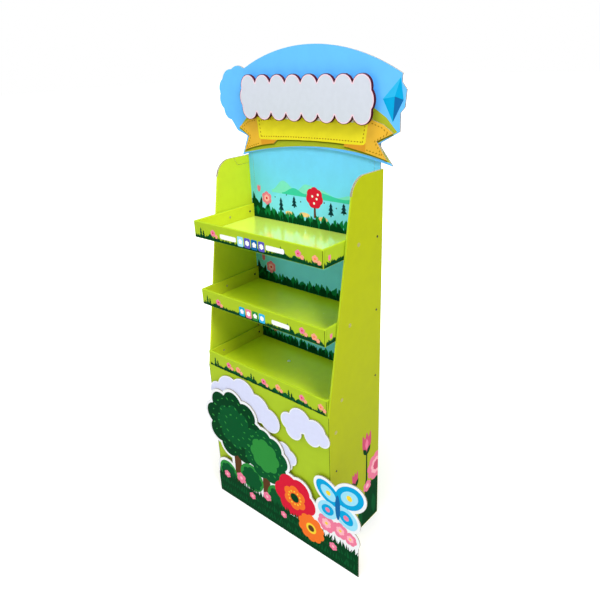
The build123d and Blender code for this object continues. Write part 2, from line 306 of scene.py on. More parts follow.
@dataclass(frozen=True)
class PrintedBoard(Finish):
    """Corrugated board with a laminated print: slight washboard, mottle and rubbed folds."""

    low_colour: str = ""
    low_z: float = 0.0
    high_z: float = 1.0
    flutes_depth: float = 0.00006
    gloss: float = 0.0
    gloss_roughness: float = 0.16
    gloss_index: float = 2.0
    shine: float = 0.05
    shade: str = "#3A3A10"
    rubbed_colour: str = "#EFF0C0"
    creases: tuple[Crease, ...] = ()

    def paint(self, graph: Graph, shader: bpy.types.Node) -> None:
        """Paints the print, its wear and the washboard of the flutes below it.

        Args:
            graph: the material's graph.
            shader: its shader.
        """
        x, y, z = graph.place()
        mottle = graph.noise(38.0, 4.0)
        fibre = graph.noise(900.0, 2.0)
        base: Any = linear(self.colour)
        if self.low_colour:
            height = z.fade(self.low_z, self.high_z)
            base = graph.mix(height, linear(self.low_colour), base)
        deep = graph.mix(0.05, base, linear(self.shade))
        printed = graph.mix((mottle * 0.6 + fibre * 0.4).fade(0.36, 0.64), deep, base)
        if self.creases:
            rubbed = self.wear((x.size(), y, z)) * graph.noise(160.0, 5.0).fade(0.4, 0.7)
            printed = graph.mix(rubbed * 0.4, printed, linear(self.rubbed_colour))
        self.matt(graph, shader, mottle, 0.14)
        for socket, value in (
            ("Specular IOR Level", self.shine), ("Coat Weight", self.gloss),
            ("Coat Roughness", self.gloss_roughness), ("Coat IOR", self.gloss_index),
        ):
            shader.inputs[socket].default_value = value
        relief = graph.waves(x + y) * 0.4 + fibre * 0.5
        graph.surface(shader, printed, relief, self.flutes_depth)

    def wear(self, place: Sequence[Flow]) -> Flow | float:
        """How much the print is rubbed, which is 1 on a fold.

        Args:
            place: the point's mirrored x, its y and its z.

        Returns:
            The sum over the folds.
        """
        total: Flow | float = 0.0
        for crease in self.creases:
            first, second = (place[axis] - at for axis, at in zip(crease.axes, crease.at))
            reach = (first * first + second * second).math("SQRT")
            total = reach.fade(crease.width, crease.width * 0.35) + total
        return total


@dataclass(frozen=True)
class Ink(Finish):
    """One printed colour of the artwork, under the same laminate as its board."""

    shade: str = "#202018"
    shine: float = 0.008
    depth: float = 0.00003

    def paint(self, graph: Graph, shader: bpy.types.Node) -> None:
        """Paints the ink with a faint press mottle.

        Args:
            graph: the material's graph.
            shader: its shader.
        """
        mottle = graph.noise(70.0, 4.0)
        fibre = graph.noise(900.0, 2.0)
        base = linear(self.colour)
        deep = graph.mix(0.025, base, linear(self.shade))
        self.matt(graph, shader, fibre, 0.1)
        shader.inputs["Specular IOR Level"].default_value = self.shine
        graph.surface(shader, graph.mix(mottle.fade(0.35, 0.65), deep, base), fibre, self.depth)


@dataclass(frozen=True)
class CutEdge(Finish):
    """The die-cut edge of corrugated board: liners with the wave of the flutes between them."""

    colour: str = "#E3DCC9"
    roughness: float = 0.85
    fibre_colour: str = "#A99E86"
    # Painted shade in the hollow gaps between liners and flutes.
    flute_gap_shade: str = "#6B6152"
    depth: float = 0.0003
    across: int = 1
    start: float = 0.0
    thickness: float = 0.003

    def paint(self, graph: Graph, shader: bpy.types.Node) -> None:
        """Paints the liners, the wave and painted shade in the hollow gaps between them.

        Args:
            graph: the material's graph.
            shader: its shader.
        """
        others = list(graph.place())
        coordinate = others.pop(self.across)
        if self.across == 0:
            coordinate = coordinate.size()
        along = others[0] + others[1]
        share = ((coordinate - self.start) / self.thickness).math("FRACT")
        off = share - 0.5
        fluting = (off - graph.waves(along) * 0.33).size().fade(0.17, 0.1)
        liner = off.size().fade(0.36, 0.41)
        paper = fluting.math("MAXIMUM", liner)
        fibre = graph.noise(700.0, 3.0)
        # The gaps between the liners and the wave get a dark colour: painted shade of the hollow
        # flutes.
        fibre_colour, flute_gap_shade = linear(self.fibre_colour), linear(self.flute_gap_shade)
        solid = graph.mix(fibre.fade(0.3, 0.7), fibre_colour, linear(self.colour))
        shader.inputs["Roughness"].default_value = self.roughness
        graph.surface(shader, graph.mix(paper, flute_gap_shade, solid), paper, self.depth)


@dataclass(frozen=True)
class PlainLiner(Finish):
    """The unprinted side of the board: paper with fibres and faint flute lines."""

    shade: str = "#4A3A28"
    stain: float = 0.3
    depth: float = 0.00012

    def paint(self, graph: Graph, shader: bpy.types.Node) -> None:
        """Paints the paper.

        Args:
            graph: the material's graph.
            shader: its shader.
        """
        x, y, _ = graph.place()
        fibre = graph.noise(420.0, 5.0, (1.0, 1.0, 0.25))
        cloud = graph.noise(14.0, 3.0)
        base = linear(self.colour)
        deep = graph.mix(self.stain, base, linear(self.shade))
        amount = (fibre * 0.6 + cloud * 0.4).fade(0.3, 0.68)
        self.matt(graph, shader, fibre, 0.12)
        relief = graph.waves(x + y) * 0.5 + fibre
        graph.surface(shader, graph.mix(amount, deep, base), relief, self.depth)


@dataclass(frozen=True)
class Foam(Finish):
    """Closed-cell foam tape."""

    shade: str = "#B9B7AE"
    cells: float = 900.0
    depth: float = 0.0004

    def paint(self, graph: Graph, shader: bpy.types.Node) -> None:
        """Paints the cells.

        Args:
            graph: the material's graph.
            shader: its shader.
        """
        cells = graph.add("ShaderNodeTexVoronoi", None, {"Scale": self.cells})
        cell = Flow(graph, cells.outputs["Distance"])
        foam = graph.mix(cell.fade(0.1, 0.6), linear(self.shade), linear(self.colour))
        shader.inputs["Roughness"].default_value = self.roughness
        graph.surface(shader, foam, cell, self.depth)


@dataclass(frozen=True)
class MouldedPlastic(Finish):
    """Satin moulded plastic of the push rivets."""

    shade: str = "#1A1C05"
    depth: float = 0.00002

    def paint(self, graph: Graph, shader: bpy.types.Node) -> None:
        """Paints the plastic with fine handling marks.

        Args:
            graph: the material's graph.
            shader: its shader.
        """
        marks = graph.noise(500.0, 4.0)
        base = linear(self.colour)
        deep = graph.mix(0.25, base, linear(self.shade))
        self.matt(graph, shader, marks, 0.2)
        graph.surface(shader, graph.mix(marks.fade(0.35, 0.6), deep, base), marks, self.depth)


class Hue(Enum):
    """The inks of the artwork."""

    LEAF = Ink("ink_leaf", "#08542A")
    LEAF_DARK = Ink("ink_leaf_dark", "#043E1E")
    LEAF_MID = Ink("ink_leaf_mid", "#0E7642")
    LEAF_LIGHT = Ink("ink_leaf_light", "#2F8C3C")
    PINE = Ink("ink_pine", "#0C3340")
    TEAL = Ink("ink_teal", "#3CC4AC")
    TEAL_PALE = Ink("ink_teal_pale", "#7ADCCF")
    RED = Ink("ink_red", "#D41E38")
    ORANGE = Ink("ink_orange", "#F0742A")
    TAIL_SHADE = Ink("ink_tail_shade", "#D8962C")
    YELLOW = Ink("ink_yellow", "#F2D23A")
    SCROLL = Ink("ink_scroll", "#EADC2C")
    BORDER = Ink("ink_border", "#A5AF2A")
    # Dark olive of the painted shadow under the ribbon.
    BORDER_DEEP = Ink("ink_border_deep", "#777C12")
    STITCH = Ink("ink_stitch", "#A87E18")
    BLUE = Ink("ink_blue", "#0AA2D8")
    BLUE_DEEP = Ink("ink_blue_deep", "#1666A4")
    BLUE_PALE = Ink("ink_blue_pale", "#9ADDF2")
    VIOLET = Ink("ink_violet", "#5A55B8")
    PINK = Ink("ink_pink", "#EA7C9A")
    ROSE = Ink("ink_rose", "#CE5474")
    PINK_PALE = Ink("ink_pink_pale", "#F7B5C0")
    PEACH = Ink("ink_peach", "#F2A184")
    RIM = Ink("ink_rim", "#EACBD8")
    WHITE = Ink("ink_white", "#F4F6F6")
    CLOUD = Ink("ink_cloud", "#D5DAF4")
    PLAQUE = Ink("ink_plaque", "#C9CEDA")
    TRUNK = Ink("ink_trunk", "#5B3A22")
    SAND = Ink("ink_sand", "#F2C48E")
    SKY_DEEP = Ink("ink_sky_deep", "#2FB2E4")
    MIST = Ink("ink_mist", "#7CD7FF")
    # Dark olive of painted shade in the gaps at corners.
    SEAM = Ink("ink_seam", "#33400C")

    def material(self) -> bpy.types.Material:
        """The ink's material."""
        return self.value.material()


@dataclass(frozen=True)
class Surface:
    """A flat side of the stand that takes a print."""

    origin: Vector
    right: Vector
    up: Vector = Vector((0, 0, 1))

    @classmethod
    def front(cls, node: str, zero: float = 0.0) -> "Surface":
        """The front face of a board that stands across the stand, zero metres up."""
        return cls(Vector((0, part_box(node)[0][1], zero)), Vector((1, 0, 0)))

    def at(self, u: float, v: float, lift: float) -> Vector:
        """The point u to the right, v up and lift off the surface, all in millimetres."""
        out = self.right.cross(self.up)
        return self.origin + (self.right * u + self.up * v + out * lift) * MM


def placed(ring: Iterable[Point], x: float, y: float, turn: float) -> Outline:
    """Turns an outline by turn degrees and moves its zero to (x, y)."""
    sine, cosine = math.sin(math.radians(turn)), math.cos(math.radians(turn))
    return [(x + p * cosine - q * sine, y + p * sine + q * cosine) for p, q in ring]


def ellipse(x: float, y: float, a: float, b: float, turn: float = 0.0,
            steps: int = 44) -> Outline:
    """An oval outline.

    Args:
        x: its middle's x.
        y: its middle's y.
        a: half its length.
        b: half its height.
        turn: its turn in degrees.
        steps: the number of points.

    Returns:
        The outline.
    """
    turns = [math.tau * i / steps for i in range(steps)]
    return placed(((a * math.cos(t), b * math.sin(t)) for t in turns), x, y, turn)


def circle(x: float, y: float, radius: float, steps: int = 40) -> Outline:
    """A round outline."""
    return ellipse(x, y, radius, radius, 0.0, steps)


def lobed(x: float, y: float, ring: float, lobe: float, count: int, start: float = 90.0,
          steps: int = 180) -> Outline:
    """The outline of lobes set on a ring, as of a flower or a leafy crown.

    Args:
        x: its middle's x.
        y: its middle's y.
        ring: the radius of the ring.
        lobe: the radius of a lobe.
        count: the number of lobes.
        start: the first lobe's direction in degrees.
        steps: the number of points.

    Returns:
        The outline.
    """
    centres = [math.radians(start) + math.tau * i / count for i in range(count)]
    points = []
    for i in range(steps):
        angle = math.tau * i / steps
        reach = 0.0
        for centre in centres:
            side = ring * math.sin(angle - centre)
            if abs(side) < lobe and math.cos(angle - centre) > 0:
                half = math.sqrt(lobe**2 - side**2)
                reach = max(reach, ring * math.cos(angle - centre) + half)
        points.append((x + reach * math.cos(angle), y + reach * math.sin(angle)))
    return points


def puffed(puffs: Iterable[Spot], inset: float, steps: int = 110) -> Outline:
    """The outline of round puffs, each upright line crossing it once.

    Args:
        puffs: the x, y and radius of each puff.
        inset: how far the outline is drawn in.
        steps: the number of upright lines.

    Returns:
        The outline.
    """
    rounds = [(x, y, radius - inset) for x, y, radius in puffs]
    low = min(x - radius for x, _, radius in rounds)
    high = max(x + radius for x, _, radius in rounds)
    tops, bottoms = [], []
    for i in range(1, steps):
        place = low + (high - low) * (1 - math.cos(math.pi * i / steps)) / 2
        spans = [
            (y, math.sqrt(r * r - (place - x) ** 2)) for x, y, r in rounds if abs(place - x) < r
        ]
        tops.append((place, max(y + half for y, half in spans)))
        bottoms.append((place, min(y - half for y, half in spans)))
    return bottoms + tops[::-1]


def curved(points: Sequence[Point], steps: int) -> Outline:
    """A smooth closed outline.

    Args:
        points: the points that it runs through.
        steps: the number of parts between two points.

    Returns:
        The outline.
    """
    count = len(points)
    made = []
    for i in range(count):
        p0, p1, p2, p3 = (points[(i + k - 1) % count] for k in range(4))
        for step in range(steps):
            t = step / steps
            made.append(tuple(
                0.5 * (
                    2 * p1[k] + (p2[k] - p0[k]) * t
                    + (2 * p0[k] - 5 * p1[k] + 4 * p2[k] - p3[k]) * t * t
                    + (3 * p1[k] - p0[k] - 3 * p2[k] + p3[k]) * t**3
                )
                for k in range(2)
            ))
    return made


def arc(start: Point, middle: Point, end: Point, steps: int = 24) -> Outline:
    """Points on a shallow arc.

    Args:
        start: its first point.
        middle: the point halfway.
        end: its last point.
        steps: the number of parts.

    Returns:
        The points, both ends included.
    """
    made = []
    for i in range(steps + 1):
        t = i / steps
        weights = ((1 - t) * (1 - 2 * t), 4 * t * (1 - t), t * (2 * t - 1))
        made.append(tuple(
            sum(w * p[k] for w, p in zip(weights, (start, middle, end))) for k in range(2)
        ))
    return made


def leaf(x: float, y: float, length: float, width: float, turn: float,
         steps: int = 10) -> Outline:
    """A pointed leaf.

    Args:
        x: where it starts.
        y: where it starts.
        length: its length.
        width: its greatest width.
        turn: the direction that it grows in, in degrees.
        steps: the number of parts along a side.

    Returns:
        The outline.
    """
    sides = [
        (length * i / steps, width / 2 * math.sin(math.pi * i / steps)) for i in range(steps + 1)
    ]
    ring = [(p, -q) for p, q in sides] + [(p, q) for p, q in sides[-2:0:-1]]
    return placed(ring, x, y, turn)


def stem(x: float, y: float, length: float, width: float, turn: float = 90.0) -> Outline:
    """A straight stem that starts at (x, y) and narrows to two thirds."""
    ring = [(0, -width / 2), (length, -width / 3), (length, width / 3), (0, width / 2)]
    return placed(ring, x, y, turn)


def tulip(x: float, y: float, height: float) -> Outline:
    """A tulip's head with three points.

    Args:
        x: the middle of its foot.
        y: the height of its foot.
        height: its height.

    Returns:
        The outline.
    """
    half = height * 0.3
    right = ((0.5, 0.0), (1.1, 0.4), (1.0, 1.0), (0.45, 0.76))
    side = [(half * p, height * q) for p, q in right]
    ring = [(-side[0][0], 0.0), *side, (0.0, height * 1.04)]
    ring += [(-p, q) for p, q in side[:0:-1]]
    return curved([(x + p, y + q) for p, q in ring], 5)


def ridge(tops: Sequence[Point], bottom: float, steps: int = 8) -> Outline:
    """A strip with a level lower edge whose upper edge rolls through the given points.

    Args:
        tops: points of the upper edge, from left to right.
        bottom: the height of the lower edge.
        steps: the number of parts between two points.

    Returns:
        The outline.
    """
    upper = [tops[0]]
    for (x0, y0), (x1, y1) in zip(tops, tops[1:]):
        for i in range(1, steps + 1):
            share = i / steps
            rise = (y1 - y0) * (1 - math.cos(math.pi * share)) / 2
            upper.append((x0 + (x1 - x0) * share, y0 + rise))
    return [(tops[0][0], bottom), (tops[-1][0], bottom)] + upper[::-1]


def band(left: float, right: float, bottom: float, top: float) -> Outline:
    """An upright rectangle."""
    return [(left, bottom), (right, bottom), (right, top), (left, top)]


def fir(x: float, y: float, height: float, width: float) -> Outline:
    """A fir tree of three tiers over a short trunk.

    Args:
        x: the middle of its foot.
        y: the height of its foot.
        height: its height.
        width: the width of its lowest tier.

    Returns:
        The outline.
    """
    right = ((0.2, 0), (0.2, 0.12), (1.0, 0.12), (0.35, 0.42), (0.8, 0.42), (0.28, 0.7),
             (0.55, 0.7))
    side = [(p * width / 2, q * height) for p, q in right]
    left = [(x - p, y + q) for p, q in side[::-1]]
    return [(x + p, y + q) for p, q in side] + [(x, y + height)] + left


def treeline(left: float, right: float, bottom: float, heights: Sequence[float],
             seed: int) -> Outline:
    """A strip whose upper edge is a row of pointed treetops.

    Args:
        left: where it starts.
        right: where it ends.
        bottom: its lower edge.
        heights: the lowest and the highest treetop.
        seed: the seed of the row's heights and widths.

    Returns:
        The outline.
    """
    roll = random.Random(seed)
    low, high = heights
    top = []
    place = left
    while place < right:
        width = roll.uniform(0.7, 1.15) * low * 0.8
        tall = bottom + roll.uniform(low, high)
        top.append((place, bottom + low * 0.72))
        top.append((min(place + width * 0.5, right), tall))
        place += width
    top.append((right, bottom + low * 0.7))
    return [(left, bottom), (right, bottom)] + top[::-1]


def prism(count: int, first: int = 0) -> list[list[int]]:
    """The faces of a prism between two rings of points.

    Args:
        count: the number of points in a ring.
        first: the lower ring's first point. The upper ring follows it.

    Returns:
        The upper face, the lower face and the sides.
    """
    upper = first + count
    faces = [list(range(upper, upper + count)), list(range(upper - 1, first - 1, -1))]
    for i in range(count):
        j = (i + 1) % count
        faces.append([first + i, first + j, upper + j, upper + i])
    return faces


def plain_object(name: str, verts: Sequence[Sequence[float]],
                 edges: Sequence[Sequence[int]] = (),
                 faces: Sequence[Sequence[int]] = ()) -> bpy.types.Object:
    """A helper object in the scene, made of plain mesh data.

    Args:
        name: its name.
        verts: its points.
        edges: its edges.
        faces: its faces.

    Returns:
        The object.
    """
    mesh = bpy.data.meshes.new(name)
    mesh.from_pydata(verts, edges, faces)
    made = bpy.data.objects.new(name, mesh)
    bpy.context.scene.collection.objects.link(made)
    return made


def settle(name: str, mesh: bpy.types.Mesh, slot: str) -> bpy.types.Object:
    """Puts a finished mesh in the scene as a piece that rides on the stand.

    Args:
        name: the piece's name.
        mesh: its mesh.
        slot: not used.

    Returns:
        The piece.
    """
    piece = bpy.data.objects.new(name, mesh)
    bpy.context.scene.collection.objects.link(piece)
    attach(piece, "root")
    log.info("%s: %d faces", name, len(mesh.polygons))
    return piece


@dataclass
class PrintJob:
    """Flat printed shapes on one surface, each a thin closed skin. Its sizes are millimetres."""

    name: str
    surface: Surface
    slot: str
    step: float = 0.05
    gap: float = 0.003
    foot: float = 0.02
    shapes: list[tuple[Outline, Hue, int]] = field(default_factory=list)

    def lay(self, outline: Outline, hue: Hue, layer: int = 1) -> None:
        """Adds a shape.

        Args:
            outline: its outline.
            hue: its ink.
            layer: its layer. Higher layers lie over lower ones.
        """
        pairs = zip(outline, outline[1:] + outline[:1])
        area = sum(a[0] * b[1] - b[0] * a[1] for a, b in pairs)
        self.shapes.append((outline if area > 0 else outline[::-1], hue, layer))

    def build(self) -> bpy.types.Object:
        """Makes the print's mesh.

        Returns:
            The piece, which rides on the stand.
        """
        verts: list[Vector] = []
        faces: list[list[int]] = []
        inks: list[int] = []
        hues = sorted({hue for _, hue, _ in self.shapes}, key=lambda hue: hue.name)
        for number, (outline, hue, layer) in enumerate(self.shapes):
            top = self.foot + self.step * layer + self.gap * number
            faces += prism(len(outline), len(verts))
            for lift in (self.foot, top):
                verts += [self.surface.at(u, v, lift) for u, v in outline]
            inks += [hues.index(hue)] * (len(outline) + 2)
        mesh = bpy.data.meshes.new(self.name)
        mesh.from_pydata(verts, [], faces)
        for hue in hues:
            mesh.materials.append(hue.material())
        mesh.polygons.foreach_set("material_index", inks)
        return settle(self.name, mesh, self.slot)


class StampTree:
    """A geometry node tree that repeats a stamp, with its sizes as named inputs."""

    sizes: dict[str, tuple[str, Any]] = {}

    def __init__(self, name: str) -> None:
        """Makes the tree and its interface.

        Args:
            name: the tree's name.
        """
        self.tree = bpy.data.node_groups.new(name, "GeometryNodeTree")
        face = self.tree.interface
        for way in ("OUTPUT", "INPUT"):
            face.new_socket("Geometry", in_out=way, socket_type="NodeSocketGeometry")
        for label, (kind, value) in self.sizes.items():
            socket = face.new_socket(label, in_out="INPUT", socket_type=kind)
            if value is not None:
                socket.default_value = value
        self.graph = Graph(self.tree)
        self.source = self.graph.add("NodeGroupInput")
        self.end = self.graph.add("NodeGroupOutput")
        self.wire()

    def wire(self) -> None:
        """Adds the tree's own nodes."""
        raise NotImplementedError

    def repeat(self, points: bpy.types.NodeSocket, turn: bpy.types.NodeSocket,
               scale: bpy.types.NodeSocket) -> None:
        """Sets the stamp on points, makes it real and gives it its material.

        Args:
            points: the points.
            turn: each stamp's rotation.
            scale: each stamp's scale.
        """
        graph, size = self.graph, self.source.outputs
        stamp = graph.add("GeometryNodeObjectInfo", None, {"Object": size["Stamp"]})
        copies = graph.add(
            "GeometryNodeInstanceOnPoints", None,
            {"Points": points, "Instance": stamp.outputs["Geometry"],
             "Rotation": turn, "Scale": scale},
        )
        real = graph.add("GeometryNodeRealizeInstances", None, {0: copies.outputs[0]})
        skin = graph.add(
            "GeometryNodeSetMaterial", None,
            {"Geometry": real.outputs[0], "Material": size["Material"]},
        )
        graph.link(skin.outputs[0], self.end.inputs[0])

    def run(self, carrier: bpy.types.Object, values: dict[str, Any]) -> bpy.types.Mesh:
        """Runs the tree on a carrier object.

        Args:
            carrier: the object with the path or points, which is removed after.
            values: the inputs by label. The stamp is removed after.

        Returns:
            The plain mesh.
        """
        modifier = carrier.modifiers.new("repeat", "NODES")
        modifier.node_group = self.tree
        labels = {
            item.name: item.identifier for item in self.tree.interface.items_tree
            if item.item_type == "SOCKET" and item.in_out == "INPUT"
        }
        for label, value in values.items():
            modifier[labels[label]] = value
        carrier.update_tag()
        view = bpy.context.evaluated_depsgraph_get()
        mesh = bpy.data.meshes.new_from_object(carrier.evaluated_get(view))
        carrier.modifiers.remove(modifier)
        for helper in (carrier, values["Stamp"]):
            bpy.data.objects.remove(helper)
        return mesh


class PathTree(StampTree):
    """Repeats a flat stamp along a path, with a random size and lean."""

    sizes = {
        "Stamp": ("NodeSocketObject", None),
        "Spacing": ("NodeSocketFloat", 5.0),
        "Smallest": ("NodeSocketFloat", 1.0),
        "Largest": ("NodeSocketFloat", 1.0),
        "Lean": ("NodeSocketFloat", 0.0),
        "Follow": ("NodeSocketFloat", 0.0),
        "Seed": ("NodeSocketInt", 1),
        "Material": ("NodeSocketMaterial", None),
    }
    steps = 9.0
    rise = 0.006
    size_seed = 7.0

    def wire(self) -> None:
        """Resamples the path and sets a stamp at each point, a little above the last one."""
        graph, size = self.graph, self.source.outputs
        curve = graph.add("GeometryNodeMeshToCurve", None, {0: size["Geometry"]})
        points = graph.add(
            "GeometryNodeCurveToPoints", {"mode": "LENGTH"},
            {"Curve": curve.outputs[0], "Length": size["Spacing"]},
        )
        order = Flow(graph, graph.add("GeometryNodeInputIndex").outputs[0])
        offset = graph.join({2: order.math("MODULO", self.steps) * self.rise})
        stacked = graph.add(
            "GeometryNodeSetPosition", None, {0: points.outputs["Points"], "Offset": offset}
        )
        along, across, _ = graph.split(points.outputs["Tangent"])
        heading = across.math("ARCTAN2", along)
        lean = Flow(graph, size["Lean"])
        tilt = self.chance(0.0 - lean, lean, size["Seed"])
        turn = heading * Flow(graph, size["Follow"]) + tilt
        seed = Flow(graph, size["Seed"]) + self.size_seed
        grow = self.chance(size["Smallest"], size["Largest"], seed)
        scale = graph.join({0: grow, 1: grow, 2: 1.0})
        self.repeat(stacked.outputs[0], graph.join({2: turn}), scale)

    def chance(self, low: Any, high: Any, seed: Any) -> Flow:
        """A random number for each point.

        Args:
            low: the least value.
            high: the greatest value.
            seed: the seed.

        Returns:
            The number.
        """
        settings = {"data_type": "FLOAT"}
        node = self.graph.add("FunctionNodeRandomValue", settings, {2: low, 3: high, "Seed": seed})
        return Flow(self.graph, node.outputs[1])


class StudTree(StampTree):
    """Sets a stud on each point, its head away from the stand's middle plane."""

    sizes = {
        "Stamp": ("NodeSocketObject", None),
        "Scale": ("NodeSocketFloat", 1.0),
        "Material": ("NodeSocketMaterial", None),
    }

    def wire(self) -> None:
        """Turns each stud by the side that its point is on."""
        graph, size = self.graph, self.source.outputs
        x, _, _ = graph.split(graph.add("GeometryNodeInputPosition").outputs[0])
        spin = graph.join({2: x.math("LESS_THAN", 0.0) * math.pi})
        points = graph.add("GeometryNodeMeshToPoints", None, {0: size["Geometry"]})
        self.repeat(points.outputs[0], spin, size["Scale"])


@dataclass
class StampRow:
    """A row of one flat stamp along paths on a surface. Its sizes are millimetres."""

    name: str
    surface: Surface
    slot: str
    stamp: Outline
    hue: Hue
    spacing: float
    smallest: float = 1.0
    largest: float = 1.0
    lean: float = 0.0
    follow: bool = False
    seed: int = 3
    layer: int = 4
    paths: list[Outline] = field(default_factory=list)

    def build(self, tree: PathTree) -> bpy.types.Object:
        """Runs the tree over the paths and puts the result on the surface.

        Args:
            tree: the tree that repeats the stamp.

        Returns:
            The piece, which rides on the stand.
        """
        top = PrintJob.foot + PrintJob.step * (self.layer + 0.5)
        verts = [(u, v, lift) for lift in (PrintJob.foot, top) for u, v in self.stamp]
        points: list[tuple[float, float, float]] = []
        edges: list[tuple[int, int]] = []
        for path in self.paths:
            edges += [(len(points) + i, len(points) + i + 1) for i in range(len(path) - 1)]
            points += [(u, v, 0.0) for u, v in path]
        stamp = plain_object("stamp", verts, faces=prism(len(self.stamp)))
        mesh = tree.run(plain_object("path", points, edges), {
            "Stamp": stamp, "Spacing": self.spacing, "Smallest": self.smallest,
            "Largest": self.largest, "Lean": self.lean, "Follow": float(self.follow),
            "Seed": self.seed, "Material": self.hue.material(),
        })
        for vert in mesh.vertices:
            vert.co = self.surface.at(*vert.co)
        return settle(self.name, mesh, self.slot)


LIME = PrintedBoard("lime_print", "#A8C424", 0.36)
SIDE_LIME = PrintedBoard(
    "side_lime_print", "#B2BC0E", 0.36, low_colour="#A8B20E", low_z=0.1, high_z=1.0,
    creases=(Crease((0, 1), (0.25, -0.125)), Crease((0, 1), (0.25, 0.125))),
)
# A brighter, yellower copy of the lime print for the inner side walls: painted light.
LIT_INNER_LIME = PrintedBoard("inner_lime_print", "#CAD92E", 0.34)
# A brighter, yellower copy of the lime print for the trays' inner faces: painted light.
LIT_TRAY_LIME = PrintedBoard("tray_lime_print", "#CED72C", 0.34)
PAD_LIME = PrintedBoard(
    "pad_lime_print", "#E0F62C", 0.24, gloss=0.2, shine=0.3, flutes_depth=0.00002,
)
# The top pad's coat gloss is real; its paler, bluer colour is painted sheen of the reflected sky
# card.
GLOSSY_SHEEN_PAD = PrintedBoard(
    "glossy_pad_print", "#DAF462", 0.2, gloss=1.0, shine=1.0, flutes_depth=0.00002,
)
SKY = PrintedBoard(
    "sky_laminate", "#71D0FF", 0.34, low_colour="#74DAFF", low_z=0.95, high_z=1.15,
    flutes_depth=0.00003,
)
HEADER = PrintedBoard("header_laminate", "#64BBFF", 0.36, flutes_depth=0.00003)
TAILS = PrintedBoard("tail_print", "#E4B136", 0.36, flutes_depth=0.00003)
MAROON = PrintedBoard("maroon_print", "#4A0C20", 0.4, flutes_depth=0.00002)
WHITE = PrintedBoard("white_print", "#EDF0F2", 0.36, flutes_depth=0.00004)
KRAFT = PlainLiner("kraft_liner", "#B08A5E", 0.8)
WHITE_BACK = PlainLiner("white_back", "#EEEDE8", 0.6, stain=0.08)
FOAM = Foam("foam_tape", "#F2F1EC", 0.9)
RIVET = MouldedPlastic("white_rivet_plastic", "#FBFFF4", 0.25)
CLEAR_RIVET = MouldedPlastic("clear_rivet_plastic", "#B2AE5C", 0.3)
SMALL_RIVET = MouldedPlastic("small_rivet_plastic", "#23260E", 0.4)


